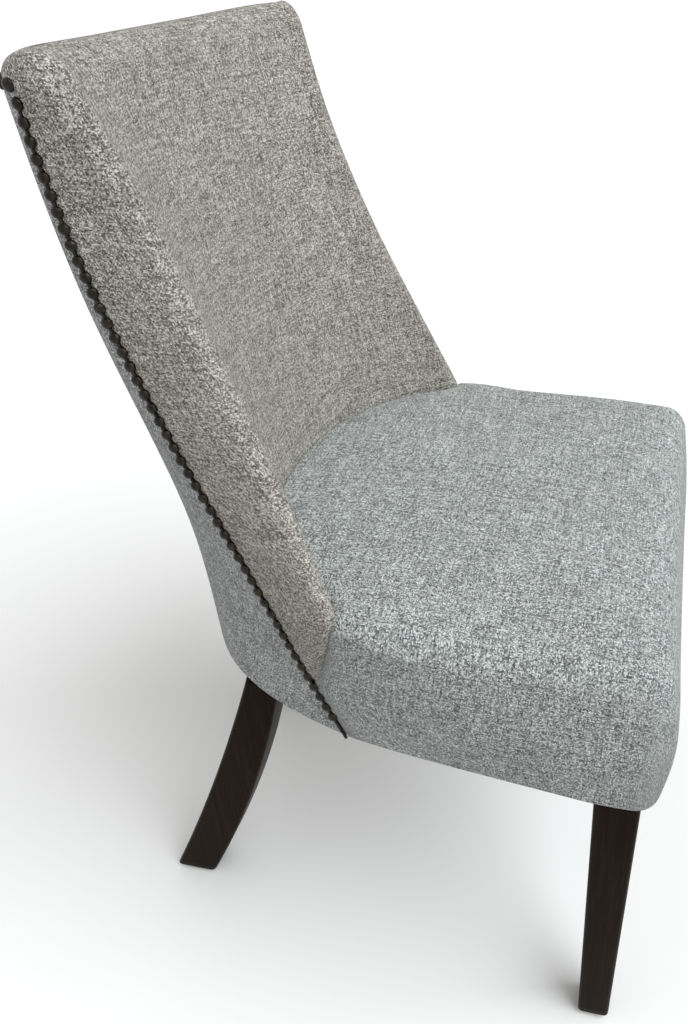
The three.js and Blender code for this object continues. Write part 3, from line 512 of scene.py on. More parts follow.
def seat_outline(z):
    """Plan of the cushion: front, rounded corner, side, and the rear tucked under the back"""
    t = clamp((z - seat_bottom) / (seat_top - seat_bottom), 0, 1)
    front = front_undercut * (1 - t) ** front_undercut_power
    corner_x = seat_side(z)[0].x - seat_corner_round
    half = [flat(corner_x * i / front_steps, front) for i in range(front_steps)]
    for i in range(corner_steps + 1):
        turn = lerp(-math.pi / 2, 0, i / corner_steps)
        spoke = flat(math.cos(turn), math.sin(turn))
        half.append(flat(corner_x, front + seat_corner_round) + seat_corner_round * spoke)
    radius, centre = wing_edge(z)
    above_tip = clamp((z - wing_tip) / joint_rise, 0, 1)
    reach = centre.y + lerp(neck_radius, -joint_cover_share * radius, above_tip)
    start = seat_side(z)[0].y
    for i in range(side_steps + 1):
        half.append(seat_side_at(z, lerp(start, reach - joint_lead, i / side_steps)))
    for before, inset in zip(joint_depths, joint_insets):
        point = seat_side_at(z, reach - before)
        half.append(point - flat(inset * above_tip, 0))
    face = along(inside_back(z), tuck_steps)[::-1]
    hidden = inset_ring(whole_ring([flat(0, 0), *face]), -tuck)[1:tuck_steps + 2]
    hidden[-1].x = 0
    return whole_ring([*half, *hidden[1:]])


def level_top(point):
    """Height of the seat's top before its crown, which rises towards the rear"""
    return seat_top + seat_pitch * (point.y / face_depths[0] - 0.5)


def roll_at(point):
    """How far inwards and how far down the rounding of the top's edge reaches"""
    near_corner = clamp((2 * abs(point.x) - seat_half) / (seat_half - 2 * seat_corner_round), 0, 1)
    front_roll = lerp(seat_front_round, seat_corner_round, near_corner)
    roll = lerp(front_roll, seat_side_round, clamp(point.y / (2 * seat_front_round), 0, 1))
    tucked = clamp((point.y - rear_roll_start) / rear_roll_run, 0, 1)
    return [lerp(roll, rear, tucked) for rear in rear_roll]


cushion_rings = []
under = seat_outline(seat_bottom)
for inset, height in seat_hem:
    cushion_rings.append([place(p, height) for p in inset_ring(under, inset)])
for k in range(wall_steps + 1):
    share = k / wall_steps
    plan = seat_outline(lerp(seat_bottom, wing_foot, share))
    inwards = inset_ring(plan, 1.0)
    ring = []
    for p, unit in zip(plan, inwards):
        back = clamp((p.y - side_start) / (wing_depth_shares[0] * rear_depths[1] - side_start), 0, 1)
        puff = lerp(front_puff, side_puff, clamp(p.y / side_start, 0, 1)) * (1 - back ** 3)
        moved = p - puff * math.sin(math.pi * share) * (unit - p)
        ring.append(place(moved, lerp(wall_foot, level_top(p) - roll_at(p)[1], share)))
    cushion_rings.append(ring)
top_plan = seat_outline(wing_foot)
top_inwards = inset_ring(top_plan, 1.0)
for k in range(1, roll_steps + 1):
    turn = k / roll_steps * math.pi / 2
    ring = []
    for p, unit in zip(top_plan, top_inwards):
        inwards, down = roll_at(p)
        moved = p + inwards * (1 - math.cos(turn)) * (unit - p)
        ring.append(place(moved, level_top(p) - down * (1 - math.sin(turn))))
    cushion_rings.append(ring)
rim_row = len(cushion_rings) - 1
rim = cushion_rings[-1]
cushion_middle = place((0, face_depths[0] / 2), seat_top)
for share in crown_shares:
    lift = Vector((0, 0, seat_crown * (1 - share * share)))
    cushion_rings.append([cushion_middle.lerp(p, share) + lift for p in rim])

cover_run = [[0.0] * len(rim) for _ in cushion_rings]
for row in range(rim_row - 1, -1, -1):
    for i, p in enumerate(cushion_rings[row]):
        cover_run[row][i] = cover_run[row + 1][i] + (cushion_rings[row + 1][i] - p).length


def lay_cover(row, column, after):
    """The cover lies flat on the top, and is folded down over every edge from there"""
    i = column % len(rim)
    if row >= rim_row:
        return cushion_rings[row][i].xy
    outwards = top_plan[i] - top_inwards[i]
    return rim[i].xy + cover_run[row][i] * outwards


seat_pressure = 1.6
seat_swell = 0.004
swell_frames = 20
even_passes = 30


def plump(piece, held, pressure, most):
    """Swells a padded piece as cloth, tacked at the held points, evenly and no further than most"""
    scene = bpy.context.scene
    tacks = piece.vertex_groups.new(name="tacks")
    tacks.add(held, 1.0, "REPLACE")
    before = [v.co.copy() for v in piece.data.vertices]
    cloth = piece.modifiers.new("cloth", "CLOTH")
    cloth.settings.quality = 6
    cloth.settings.mass = 0.35
    cloth.settings.tension_stiffness = 25
    cloth.settings.compression_stiffness = 25
    cloth.settings.shear_stiffness = 12
    cloth.settings.bending_stiffness = 2.0
    cloth.settings.vertex_group_mass = "tacks"
    cloth.settings.use_pressure = True
    cloth.settings.uniform_pressure_force = pressure
    cloth.settings.effector_weights.gravity = 0
    cloth.point_cache.frame_start = 1
    cloth.point_cache.frame_end = swell_frames
    for number in range(1, swell_frames + 1):
        scene.frame_set(number)
    swollen = piece.evaluated_get(bpy.context.evaluated_depsgraph_get())
    moves = [v.co - start for v, start in zip(swollen.data.vertices, before)]
    piece.modifiers.remove(cloth)
    ties = [[] for _ in moves]
    for edge in piece.data.edges:
        one, two = edge.vertices
        ties[one].append(two)
        ties[two].append(one)
    free = set(range(len(moves))).difference(held)
    for _ in range(even_passes):
        evened = list(moves)
        for i in free:
            evened[i] = (moves[i] + sum((moves[j] for j in ties[i]), Vector())) / (len(ties[i]) + 1)
        moves = evened
    for vert, start, move in zip(piece.data.vertices, before, moves):
        if move.length > most:
            move.length = most
        vert.co = start + move
    piece.vertex_groups.remove(tacks)
    scene.frame_set(1)


def refine(piece):
    """Smooths a piece by one subdivision"""
    finer = piece.modifiers.new("finer", "SUBSURF")
    finer.levels = 1
    finer.render_levels = 1


thread = 0.00108
thread_drift = 0.0006
short_run = 1.6
long_run = 17.0
tone_weight = 0.5
fleck_weight = 0.8
cloud_weight = 0.1
streak_weight = 0.24
# Weight, in the colour, of the painted highlight and shade that come from the threads' roundness
painted_thread_shade_weight = 0.3
blend_drop = 0.62
tone_relief = 1.2


def tweed(name, dark, middle, light, pale):
    """Plain weave of heathered yarn, whose tone changes along each thread; the dark gaps between threads are
    part yarn and part painted shade, and each thread's middle has a painted highlight
    """
    material, tree, shader = start_material(
        name, 0.92, Sheen_Weight=0.08, Sheen_Roughness=0.5, Specular_IOR_Level=0.2,
    )
    spot = new_node(tree, "ShaderNodeUVMap", uv_map="weave").outputs["UV"]
    drift = new_node(tree, "ShaderNodeTexNoise", {"Vector": spot, "Scale": 30.0, "Detail": 2.0})
    drift = new_node(tree, "ShaderNodeVectorMath", {
        0: drift.outputs["Color"], 1: (thread_drift, thread_drift, 0.0),
    }, operation="MULTIPLY").outputs[0]
    spot = new_node(tree, "ShaderNodeVectorMath", {0: spot, 1: drift}, operation="ADD").outputs[0]
    parts = new_node(tree, "ShaderNodeSeparateXYZ", {0: spot})
    warp = sums(tree, "DIVIDE", parts.outputs[0], thread)
    weft = sums(tree, "DIVIDE", parts.outputs[1], thread)
    warp_number = sums(tree, "FLOOR", warp)
    weft_number = sums(tree, "FLOOR", weft)
    over = sums(tree, "FRACT", sums(tree, "MULTIPLY", sums(tree, "ADD", warp_number, weft_number), 0.5))
    over = sums(tree, "GREATER_THAN", over, 0.25)

    def shown(when_weft, when_warp):
        """Value of the thread that lies on top at a crossing"""
        return new_node(tree, "ShaderNodeMix", {0: over, 2: when_weft, 3: when_warp}).outputs[0]

    def crest(run):
        """Roundness across a thread, highest in its middle"""
        middle_out = sums(tree, "SUBTRACT", sums(tree, "FRACT", run), 0.5)
        return sums(tree, "COSINE", sums(tree, "MULTIPLY", middle_out, math.pi))

    def chance(dimensions, **inputs):
        """Even random value from 0 to 1"""
        made = new_node(tree, "ShaderNodeTexWhiteNoise", inputs, noise_dimensions=dimensions)
        return made.outputs["Value"]

    def dash(number, run, length, row):
        """Tone of one stretch of a thread, where each thread's stretches start at their own place"""
        start = chance("1D", W=sums(tree, "ADD", number, row))
        stretch = sums(tree, "FLOOR", sums(tree, "ADD", sums(tree, "DIVIDE", run, length), start))
        where = new_node(tree, "ShaderNodeCombineXYZ", {0: number, 1: stretch, 2: row}).outputs[0]
        return chance("3D", Vector=where)

    tone = shown(dash(weft_number, warp, short_run, 4.0), dash(warp_number, weft, short_run, 9.0))
    cell = new_node(tree, "ShaderNodeCombineXYZ", {0: warp_number, 1: weft_number, 2: 0.0}).outputs[0]
    fleck = chance("2D", Vector=cell)
    cloud = new_node(tree, "ShaderNodeTexNoise", {"Vector": spot, "Scale": 22.0, "Detail": 3.0})
    streak = sums(
        tree, "ADD", dash(weft_number, warp, long_run, 31.0), dash(warp_number, weft, long_run, 57.0),
    )
    # Roundness of the threads: relief for the bump, and also mixed into the colour, where it is a painted
    # highlight along each thread's middle and painted shade at its edges
    round_top = shown(crest(weft), crest(warp))
    blend = sums(tree, "MULTIPLY", tone, tone_weight)
    for part, weight in (
        (fleck, fleck_weight), (cloud.outputs["Fac"], cloud_weight),
        (streak, streak_weight), (round_top, painted_thread_shade_weight),
    ):
        blend = sums(tree, "ADD", blend, sums(tree, "MULTIPLY", part, weight))
    blend = sums(tree, "SUBTRACT", blend, blend_drop)
    base = ramp(tree, blend, [(0.02, dark), (0.42, middle), (0.72, light), (1.0, pale)])
    tree.links.new(base, shader.inputs["Base Color"])
    height = sums(tree, "ADD", round_top, sums(tree, "MULTIPLY", tone, tone_relief))
    bump = new_node(tree, "ShaderNodeBump", {"Height": height, "Strength": 0.7, "Distance": 0.0005})
    tree.links.new(bump.outputs[0], shader.inputs["Normal"])
    return material


cool_tweed = tweed(
    "cool_grey_tweed", (0.075, 0.08, 0.081), (0.285, 0.301, 0.298), (0.53, 0.555, 0.549), (0.87, 0.9, 0.895),
)
seat = skin("seat_cushion", cushion_rings, lay_cover)
columns = len(rim)
tacked_rows = len(seat_hem) + 1
tucked_columns = [i for i in range(columns) if min(i, columns - i) > columns // 2 - tuck_steps - 1]
held = [row * columns + i for row in range(tacked_rows) for i in range(columns)]
held += [row * columns + i for row in range(tacked_rows, rim_row) for i in tucked_columns]
plump(seat, held, seat_pressure, seat_swell)
refine(seat)
fit(seat, cool_tweed, "cool_fabric", "seat_cover", "seat_foam")

# Dust cover
# Thin black non-woven cloth stapled under the rails, its edge folded in. It closes the
# bottom of the seat, and the tops of the legs go up through it.
dust_inset = 0.0087
dust_height = 0.3542
dust_sag = 0.002
dust_pucker = 0.0007
dust_hem = (
    (0.985, -0.0008), (0.985, -0.0003), (1.0, -0.0003),
    (1.0, 0.0006), (0.985, 0.0008), (0.94, 0.0006),
)
dust_steps = 12
staple_pitch = 0.034
dust_cloth, tree, shader = start_material("dust_cloth", 0.88)
spot = new_node(tree, "ShaderNodeUVMap", uv_map="weave").outputs["UV"]
felt = new_node(tree, "ShaderNodeTexNoise", {"Vector": spot, "Scale": 1800.0, "Detail": 5.0}).outputs["Fac"]
dimples = new_node(tree, "ShaderNodeTexVoronoi", {"Vector": spot, "Scale": 550.0}).outputs["Distance"]
nap = sums(tree, "ADD", felt, sums(tree, "MULTIPLY", dimples, 0.8))
tone = ramp(tree, nap, [(0.4, (0.007, 0.007, 0.008)), (1.1, (0.028, 0.028, 0.031))])
tree.links.new(tone, shader.inputs["Base Color"])
bump = new_node(tree, "ShaderNodeBump", {"Height": nap, "Strength": 0.5, "Distance": 0.0003})
tree.links.new(bump.outputs[0], shader.inputs["Normal"])

rear_lead_shares = (0.53, 0.45)
rear_tail_share = 0.66
rear_angle = 20
rear_angle_shares = (0.75, 1.5, 1.05, -0.1, 0.1)
rear_curve_power = 1.2
rear_plan_steps = 16


def outside_back(z):
    """Control points of the outside back in plan, from the nail line to the middle of the rear"""
    t = max((z - seat_bottom) / nail_rise, 0)
    start = nail_line(z)
    rear = lerp(*rear_depths, t ** rear_curve_power)
    angle = math.radians(rear_angle * through_shares(rear_angle_shares, t))
    lead = lerp(*rear_lead_shares, t) * (rear - start.y)
    return [
        start,
        start + lead * flat(-math.sin(angle), math.cos(angle)),
        flat(rear_tail_share * start.x, rear),
        flat(0, rear),
    ]


def chair_plan():
    """Outer plan of the chair at the underside of the seat"""
    corner_x = seat_side(seat_bottom)[0].x - seat_corner_round
    half = [flat(corner_x * i / front_steps, front_undercut) for i in range(front_steps)]
    for i in range(corner_steps + 1):
        turn = lerp(-math.pi / 2, 0, i / corner_steps)
        spoke = flat(math.cos(turn), math.sin(turn))
        half.append(flat(corner_x, front_undercut + seat_corner_round) + seat_corner_round * spoke)
    side = along(seat_side(seat_bottom), side_steps)
    rear = along(outside_back(seat_bottom), rear_plan_steps)
    return whole_ring([*half, *side, *rear[1:]])


def ring_runs(ring):
    """How far round the ring each of its points lies, back to the first"""
    run = [0.0]
    for a, b in zip(ring, [*ring[1:], ring[0]]):
        run.append(run[-1] + (b - a).length)
    return run


def plan_lay(rings):
    """Weave coordinates of cloth that lies flat"""
    return lambda row, column, after: rings[row][column % len(rings[row])].xy


dust_edge = inset_ring(chair_plan(), dust_inset)
dust_runs = ring_runs(dust_edge)
dust_centre = flat(0, sum(p.y for p in dust_edge) / len(dust_edge))
dust_rings = []
for share, drop in dust_hem:
    dust_rings.append([place(dust_centre.lerp(p, share), dust_height - drop) for p in dust_edge])
field_share, field_drop = dust_hem[-1]
for k in range(1, dust_steps):
    share = field_share * (1 - k / dust_steps)
    sag = dust_sag * (1 - share * share)
    pucker = dust_pucker * share ** 6
    dust_rings.append([
        place(
            dust_centre.lerp(p, share),
            dust_height - field_drop - sag - pucker * math.cos(2 * math.pi * run / staple_pitch),
        )
        for p, run in zip(dust_edge, dust_runs)
    ])
dust = skin("dust_cover_cloth", dust_rings, plan_lay(dust_rings))
refine(dust)
fit(dust, dust_cloth, "black_cloth", "dust_cover")


def wire(bm, path, radius, sides=8):
    """Round wire along a short path"""
    rows = []
    for k, point in enumerate(path):
        before = path[max(k - 1, 0)]
        after = path[min(k + 1, len(path) - 1)]
        way = (after - before).normalized()
        turn = way.to_track_quat("Z", "Y")
        rows.append([
            bm.verts.new(point + turn @ Vector((
                radius * math.cos(2 * math.pi * i / sides), radius * math.sin(2 * math.pi * i / sides), 0,
            )))
            for i in range(sides)
        ])
    for low, high in zip(rows, rows[1:]):
        for i in range(sides):
            made = bm.faces.new([low[i], low[(i + 1) % sides], high[(i + 1) % sides], high[i]])
            made.smooth = True
    bm.faces.new(rows[0][::-1])
    bm.faces.new(rows[-1])


def finish_mesh(name, bm):
    """New piece from a mesh in the making"""
    bmesh.ops.recalc_face_normals(bm, faces=bm.faces)
    mesh = bpy.data.meshes.new(name)
    bm.to_mesh(mesh)
    bm.free()
    piece = bpy.data.objects.new(name, mesh)
    bpy.context.scene.collection.objects.link(piece)
    return piece


staple_half = 0.005
staple_wire = 0.0004
staple_margin = 0.005
staple_drop = 0.0016
staple_leg = 0.002
staple_bend = 0.0006
staple_bend_share = 0.06
staple_skew = 0.25
staple_line = inset_ring(chair_plan(), dust_inset + staple_margin)
staple_runs = ring_runs(staple_line)
bm = bmesh.new()
count = round(staple_runs[-1] / staple_pitch)
for k in range(count):
    goal = (k + 0.5) * staple_runs[-1] / count
    i = max(j for j, run in enumerate(staple_runs) if run <= goal)
    a, b = staple_line[i % len(staple_line)], staple_line[(i + 1) % len(staple_line)]
    spot_on = a.lerp(b, (goal - staple_runs[i]) / max((b - a).length, 1e-9))
    way = (b - a).normalized()
    lean = staple_skew * math.sin(7.3 * k)
    way = flat(way.x - lean * way.y, way.y + lean * way.x).normalized()
    low = dust_height - staple_drop
    ends = [spot_on - staple_half * way, spot_on + staple_half * way]
    path = [
        place(ends[0], low + staple_leg),
        place(ends[0], low + staple_bend),
        place(ends[0].lerp(ends[1], staple_bend_share), low),
        place(ends[0].lerp(ends[1], 1 - staple_bend_share), low),
        place(ends[1], low + staple_bend),
        place(ends[1], low + staple_leg),
    ]
    wire(bm, path, staple_wire)
staples = finish_mesh("dust_cover_staples", bm)
fit(staples, zinc, "zinc_steel")

# Back frame
# Two shaped posts in the wings and three curved rails between them, of the same sawn
# hardwood as the seat frame, glued and doweled to it.
dress(sawn_wood, "back_post_left", "back_post_right", "lower_back_rail", "middle_back_rail", "crest_rail")

# Back webbing
# Three upright straps on the front of the back rails, tacked at each rail. The back foam
# leans on them.
dress(webbing, "back_strap_1", "back_strap_2", "back_strap_3")

# Back panel
# Thin bent board over the rear of the back frame. It gives the outside back its smooth
# curve under the cloth.
dress(
    lumber("bent_board", (0.2, 0.115, 0.05), (0.36, 0.22, 0.105), 0.8, (90, 90, 30), 0.3),
    "back_panel",
)

# Inside back
# Foam over the front of the frame and round both wings, under one tweed cover. The cover
# runs over the crest and the wing edges and ends under the nail heads.
crest_ear = 0.007
crest_round_height = 0.021
crest_round_depth = 0.024
crest_pair_share = 0.45
crest_horn_share = 0.85
shoulder = back_top - crest_round_height
face_steps = 24
horn_steps = 8
wing_steps = 6
rear_steps = face_steps - wing_steps
crest_steps = 9
back_steps = 46
cover_recess = 0.0045
wing_puff_share = 0.05
seam_step = 0.02
tack_margin = 2
inside_pressure = 1.2
inside_swell = 0.0025
nail_column = face_steps + horn_steps + wing_steps


def wing_side(z):
    """Control points of a wing's side in plan, from its rounded front edge to the nail line"""
    radius, centre = wing_edge(z)
    start = centre + flat(radius, 0)
    end = nail_line(z)
    across = end - start
    return [start, (start + end) / 2 + wing_puff_share * flat(across.y, -across.x), end]


def crescent_ring(z):
    """Plan of the back: inside face, rounded wing edge, wing side, outside back"""
    radius, centre = wing_edge(z)
    horn = []
    for i in range(1, horn_steps):
        turn = lerp(-math.pi + face_angle(z), 0, i / horn_steps)
        horn.append(centre + radius * flat(math.cos(turn), math.sin(turn)))
    return whole_ring([
        *along(inside_back(z), face_steps),
        *horn,
        *along(wing_side(z), wing_steps),
        *along(outside_back(z), rear_steps)[1:],
    ])


def crest_ring(turn, recess):
    """Ring on the rounding of the crest, which also draws its ends up into ears"""
    z = shoulder + crest_round_height * math.sin(turn)
    plan = crescent_ring(z)
    count = len(plan)
    half = count // 2
    draws = []
    for i, p in enumerate(plan):
        partner = plan[count + half - i if i > half else half - i]
        paired = crest_pair_share * (p - partner).length
        depth = clamp(paired, crest_horn_share * wing_front_radii[1], crest_round_depth)
        draws.append(recess[i] + depth * (1 - math.cos(turn)))
    ring = []
    for p in inset_ring(plan, draws):
        ear = crest_ear * math.sin(turn) * (p.x / nail_halves[1]) ** 2
        ring.append(place(p, z + ear))
    return ring


back_columns = 2 * (nail_column + rear_steps)
recessed = [
    cover_recess if nail_column < i < back_columns - nail_column else 0.0
    for i in range(back_columns)
]
level = [0.0] * back_columns
back_rings = []
back_foot = wing_tip - 0.004
for k in range(back_steps):
    z = lerp(back_foot, shoulder, k / back_steps)
    back_rings.append([place(p, z) for p in inset_ring(crescent_ring(z), recessed)])
back_rings.append([place(p, shoulder) for p in inset_ring(crescent_ring(shoulder), recessed)])
seam_turn = math.asin((nail_top - shoulder) / crest_round_height)
back_rings.append(crest_ring(seam_turn, recessed))
back_rings.append(crest_ring(seam_turn + seam_step, level))
seam_rows = len(back_rings)
for k in range(1, crest_steps + 1):
    back_rings.append(crest_ring(lerp(seam_turn + seam_step, math.pi / 2, k / crest_steps), level))
# The inside back is covered in the same grey tweed as the seat; this darker, warmer copy of it is painted
# shade
shaded_copy_tweed = tweed(
    "shaded_warm_grey_tweed", (0.07, 0.066, 0.058), (0.256, 0.24, 0.214), (0.476, 0.45, 0.404), (0.785, 0.75, 0.69),
)
inside = skin("inside_back_cushion", back_rings, unrolled(back_rings), ("fan", "pairs"))
first_tack = nail_column - tack_margin
held = [row * back_columns + i for row in range(2) for i in range(back_columns)]
for row in range(2, seam_rows):
    held += [row * back_columns + i for i in range(first_tack, back_columns - first_tack + 1)]
plump(inside, held, inside_pressure, inside_swell)
refine(inside)
fit(inside, shaded_copy_tweed, "warm_fabric", "inside_back_cover", "back_foam")

# Outside back
# One tweed panel stretched round the rear of the back over a thin layer of wadding,
# tacked under the rails, and closed by the nail heads on its sides and top.
cloth_thickness = 0.0022
outside_hem = [
    (0.020, 0.3552, 0.020, 0.3574), (0.012, 0.3552, 0.012, 0.3574), (0.006, 0.3552, 0.006, 0.3574),
    (0.0025, 0.3556, 0.0040, 0.3577), (0.0008, 0.3566, 0.0028, 0.3583), (0.0, 0.3590, 0.0022, 0.3598),
]
outside_steps = 44


def outside_ring(outer, inner):
    """Ring round the panel's outer and inner faces, from nail line to nail line and back"""
    outer_run = outer[nail_column:back_columns - nail_column + 1]
    inner_run = inner[nail_column:back_columns - nail_column + 1]
    return [*outer_run, *reversed(inner_run)]


outside_rings = []
low_plan = crescent_ring(seat_bottom)
for out_inset, out_z, in_inset, in_z in outside_hem:
    outside_rings.append(outside_ring(
        [place(p, out_z) for p in inset_ring(low_plan, out_inset)],
        [place(p, in_z) for p in inset_ring(low_plan, in_inset)],
    ))
for k in range(1, outside_steps + 1):
    z = lerp(outside_hem[-1][1], shoulder, k / outside_steps)
    plan = crescent_ring(z)
    outside_rings.append(outside_ring(
        [place(p, z) for p in plan],
        [place(p, z) for p in inset_ring(plan, cloth_thickness)],
    ))
outside_rings.append(outside_ring(
    crest_ring(seam_turn, level),
    crest_ring(seam_turn, [cloth_thickness] * back_columns),
))
outside = skin("outside_back_panel", outside_rings, unrolled(outside_rings), ("strip", "strip"))
refine(outside)
fit(outside, cool_tweed, "cool_fabric", "outside_back_cover")

# Nail heads
# Domed heads in dark bronze along the rear edge of each wing and across the crest, where
# they hold the covers' edges. Narrow links join them, as on trim that comes in strips.
bead_pitch = 0.0125
bead_profile = (
    (0.0046, -0.002), (0.00475, 0.0), (0.0047, 0.0004), (0.0043, 0.0011),
    (0.0036, 0.0017), (0.0025, 0.0022), (0.0012, 0.0025),
)
bead_top = 0.0026
bead_sides = 20
side_lifts = (0.0016, 0.0005)
crest_lifts = (0.0003, 0.0003)
crest_overrun = 0.0035
bead_turn = 0.3
bead_turn_fade = 1.6
bead_lean = 0.05
bead_stray = 0.00018
link_half = 0.0013
link_height = 0.0008
link_step = 0.003
link_arc = [(-1, -2), (-1, 0.15), (-0.7, 0.72), (0, 1), (0.7, 0.72), (1, 0.15), (1, -2)]
plain_foot = 0.021
nail_line_start = seat_bottom + 0.001
nail_line_end = nail_top - 0.4 * bead_pitch
nail_line_steps = 120
bronze, tree, shader = start_material("dark_bronze", 0.34, Metallic=0.85)
spot = new_node(tree, "ShaderNodeTexCoord").outputs["Object"]
patina = new_node(tree, "ShaderNodeTexNoise", {"Vector": spot, "Scale": 260.0, "Detail": 4.0}).outputs["Fac"]
tone = ramp(tree, patina, [
    (0.35, (0.012, 0.0105, 0.009)), (0.62, (0.03, 0.025, 0.02)), (0.8, (0.075, 0.056, 0.038)),
])
tree.links.new(tone, shader.inputs["Base Color"])
polish = new_node(tree, "ShaderNodeMapRange", {"Value": patina, "To Min": 0.26, "To Max": 0.46}).outputs[0]
tree.links.new(polish, shader.inputs["Roughness"])
bump = new_node(tree, "ShaderNodeBump", {"Height": patina, "Strength": 0.25, "Distance": 0.0003})
tree.links.new(bump.outputs[0], shader.inputs["Normal"])


def nail_run(name, points, outwards, plain, lifts, node):
    """Domed heads on a narrow strip along the points, whose first stretch, plain, has no heads"""
    run = [0.0]
    for a, b in zip(points, points[1:]):
        run.append(run[-1] + (b - a).length)

    def at(distance):
        """Point, direction and outward direction at a distance along the run"""
        i = min(max(j for j, r in enumerate(run) if r <= distance + 1e-9), len(points) - 2)
        share = clamp((distance - run[i]) / (run[i + 1] - run[i]), 0, 1)
        way = (points[i + 1] - points[i]).normalized()
        up = outwards[i].lerp(outwards[i + 1], share)
        up = (up - up.dot(way) * way).normalized()
        return points[i].lerp(points[i + 1], share), way, up

    count = round((run[-1] - plain) / bead_pitch)
    pitch = (run[-1] - plain) / count
    strip_start = 0 if plain else pitch / 2
    bm = bmesh.new()
    strip_steps = round(run[-1] / link_step)
    rows = []
    for k in range(strip_steps + 1):
        here, way, up = at(lerp(strip_start, run[-1] - pitch / 2, k / strip_steps))
        lift = lerp(*lifts, (k / strip_steps) ** 2)
        across = way.cross(up)
        rows.append([
            bm.verts.new(here + link_half * w * across + (lift + link_height * h) * up)
            for w, h in link_arc
        ])
    for low, high in zip(rows, rows[1:]):
        for i in range(len(link_arc)):
            j = (i + 1) % len(link_arc)
            made = bm.faces.new([low[i], low[j], high[j], high[i]])
            made.smooth = True
    bm.faces.new(rows[0][::-1])
    bm.faces.new(rows[-1])
    for k in range(count):
        here, way, up = at(plain + (k + 0.5) * pitch)
        lift = lerp(*lifts, (k / count) ** 2)
        across = way.cross(up)
        tilt = bead_lean * math.sin(12.9 * k + 1.7)
        swing = bead_lean * math.cos(7.7 * k)
        crown = (up + tilt * across + swing * way).normalized()
        east = (across - across.dot(crown) * crown).normalized()
        north = crown.cross(east)
        here = here + bead_stray * math.sin(5.1 * k) * across + lift * up
        dome = []
        for radius, rise in bead_profile:
            dome.append([
                bm.verts.new(
                    here + rise * crown
                    + radius * math.cos(2 * math.pi * i / bead_sides) * east
                    + radius * math.sin(2 * math.pi * i / bead_sides) * north
                )
                for i in range(bead_sides)
            ])
        for low, high in zip(dome, dome[1:]):
            for i in range(bead_sides):
                j = (i + 1) % bead_sides
                made = bm.faces.new([low[i], low[j], high[j], high[i]])
                made.smooth = True
        hub = bm.verts.new(here + bead_top * crown)
        for i in range(bead_sides):
            made = bm.faces.new([dome[-1][i], dome[-1][(i + 1) % bead_sides], hub])
            made.smooth = True
        bm.faces.new(dome[0][::-1])
    nails = finish_mesh(name, bm)
    fit(nails, bronze, "trim_metal", node)


side_points, side_outwards = [], []
for k in range(nail_line_steps + 1):
    t = k / nail_line_steps
    z = lerp(nail_line_start, nail_line_end, t)
    wing = wing_side(z)
    rear = outside_back(z)
    way = (wing[2] - wing[1]).normalized() + (rear[1] - rear[0]).normalized()
    side_points.append(place(nail_line(z), z))
    square_out = Vector((way.y, -way.x, 0)).normalized()
    forwards = Vector((0, -bead_turn * (1 - bead_turn_fade * t * t), 0))
    side_outwards.append((square_out + forwards).normalized())
for side, sign in (("left", 1), ("right", -1)):
    nail_run(
        f"{side}_wing_nails",
        [Vector((sign * p.x, p.y, p.z)) for p in side_points],
        [Vector((sign * n.x, n.y, n.z)) for n in side_outwards],
        plain_foot,
        side_lifts,
        f"nail_trim_{side}",
    )
crest_half = crest_ring(seam_turn, level)[nail_column:back_columns - nail_column + 1]
crest_outwards = []
for i in range(len(crest_half)):
    way = crest_half[min(i + 1, len(crest_half) - 1)] - crest_half[max(i - 1, 0)]
    crest_outwards.append(Vector((way.y, -way.x, 0)).normalized())
first_run = (crest_half[1] - crest_half[0]).normalized()
last_run = (crest_half[-2] - crest_half[-1]).normalized()
crest_half[0] = crest_half[0] - crest_overrun * first_run
crest_half[-1] = crest_half[-1] - crest_overrun * last_run
nail_run("crest_nails", crest_half, crest_outwards, 0.0, crest_lifts, "nail_trim_top")

# Floor
# Plain pale ground, which isn't part of the chair. It is one flat sheet, wide enough to
# fill the view, and takes the chair's soft shadow.
floor_half = 30


def background_rays(tree):
    """1 for the rays that show the background, straight or in a gloss or a glass, and 0 for light"""
    path = new_node(tree, "ShaderNodeLightPath")
    shown = path.outputs["Is Camera Ray"]
    for kind in ("Is Glossy Ray", "Is Transmission Ray"):
        shown = sums(tree, "MAXIMUM", shown, path.outputs[kind])
    return shown


bm = bmesh.new()
corners = ((-1, -1), (1, -1), (1, 1), (-1, 1))
bm.faces.new([bm.verts.new((x * floor_half, y * floor_half, 0)) for x, y in corners])
floor = finish_mesh("pale_floor", bm)
ground, tree, shader = start_material("pale_ground", 0.9)
spot = new_node(tree, "ShaderNodeTexCoord").outputs["Object"]
faint = new_node(tree, "ShaderNodeTexNoise", {"Vector": spot, "Scale": 3.0, "Detail": 3.0}).outputs["Fac"]
near = ramp(tree, faint, [(0.2, (0.97, 0.97, 0.97)), (0.8, (0.99, 0.99, 0.99))])
tone = new_node(tree, "ShaderNodeMix", {
    0: background_rays(tree), 6: (0.5, 0.5, 0.5, 1.0), 7: near,
}, data_type="RGBA").outputs[2]
tree.links.new(tone, shader.inputs["Base Color"])
shader.inputs["Specular IOR Level"].default_value = 0.0
floor.data.materials.append(ground)

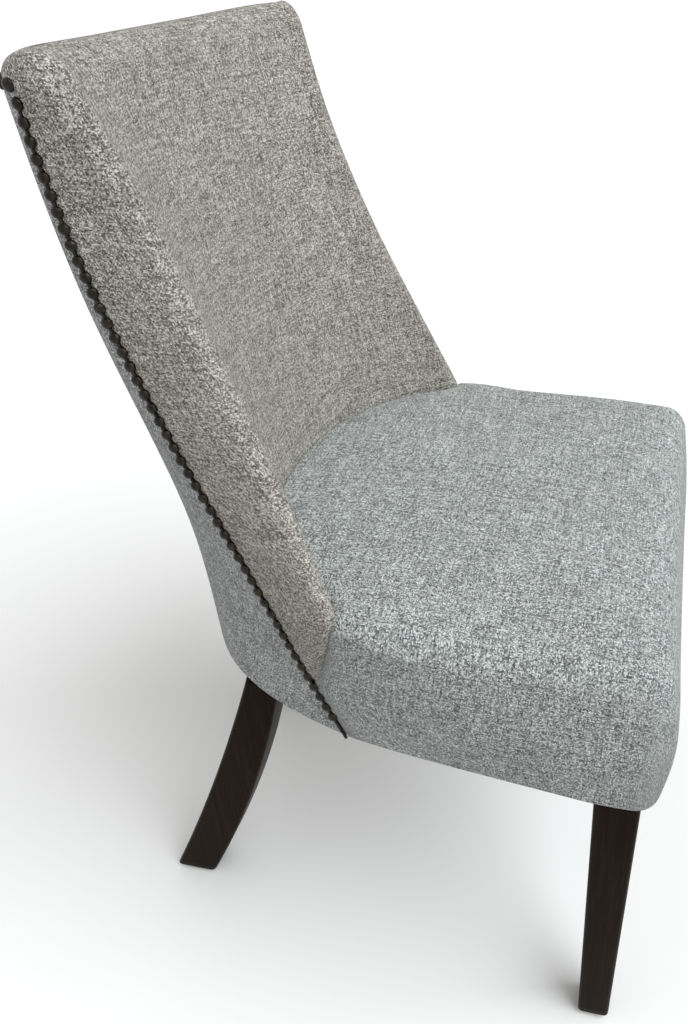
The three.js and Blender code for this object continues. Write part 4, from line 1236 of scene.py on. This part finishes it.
# Light
# Soft daylight from all round and one very broad, soft sun, which stands above the front
# of the chair, a little to the sitter's right.
world = bpy.data.worlds.new("studio")
bpy.context.scene.world = world
world.use_nodes = True
tree = world.node_tree
tree.nodes.clear()
sky = new_node(tree, "ShaderNodeBackground", {"Color": (1.0, 0.99, 0.965, 1.0), "Strength": 0.56})
white = new_node(tree, "ShaderNodeBackground", {"Color": (1.0, 1.0, 1.0, 1.0), "Strength": 1.0})
mixed = new_node(tree, "ShaderNodeMixShader", {
    0: background_rays(tree), 1: sky.outputs[0], 2: white.outputs[0],
})
new_node(tree, "ShaderNodeOutputWorld", {"Surface": mixed.outputs[0]})
lamp = bpy.data.lights.new("soft_sun", "SUN")
lamp.energy = 2.4
lamp.color = (0.94, 0.98, 1.0)
lamp.angle = math.radians(50)
sun = bpy.data.objects.new("soft_sun", lamp)
sun.rotation_mode = "QUATERNION"
sun.rotation_quaternion = Vector((-0.24, -0.7, 0.86)).to_track_quat("Z", "Y")
bpy.context.scene.collection.objects.link(sun)
bpy.context.scene.view_settings.view_transform = "Standard"

# Camera
# Stands to the sitter's right, a little in front and higher than the chair, and looks
# down across it, as the photograph does.
camera = bpy.data.objects.new("camera", bpy.data.cameras.new("camera"))
camera.data.lens = 31.26
camera.data.sensor_width = 36
camera.data.sensor_fit = "AUTO"
camera.data.shift_x = -0.1487
camera.data.shift_y = -0.0610
camera_at = Vector((-0.77205, -0.23388, 1.03002))
looked_at = Vector((0, -0.083787, 0.561))
roll = math.radians(0.5423)
backwards = (camera_at - looked_at).normalized()
level_right = Vector((0, 0, 1)).cross(backwards).normalized()
level_up = backwards.cross(level_right)
right = math.cos(roll) * level_right + math.sin(roll) * level_up
up = math.cos(roll) * level_up - math.sin(roll) * level_right
camera.matrix_world = Matrix((
    (right.x, up.x, backwards.x, camera_at.x),
    (right.y, up.y, backwards.y, camera_at.y),
    (right.z, up.z, backwards.z, camera_at.z),
    (0, 0, 0, 1),
))
bpy.context.scene.collection.objects.link(camera)
bpy.context.scene.camera = camera
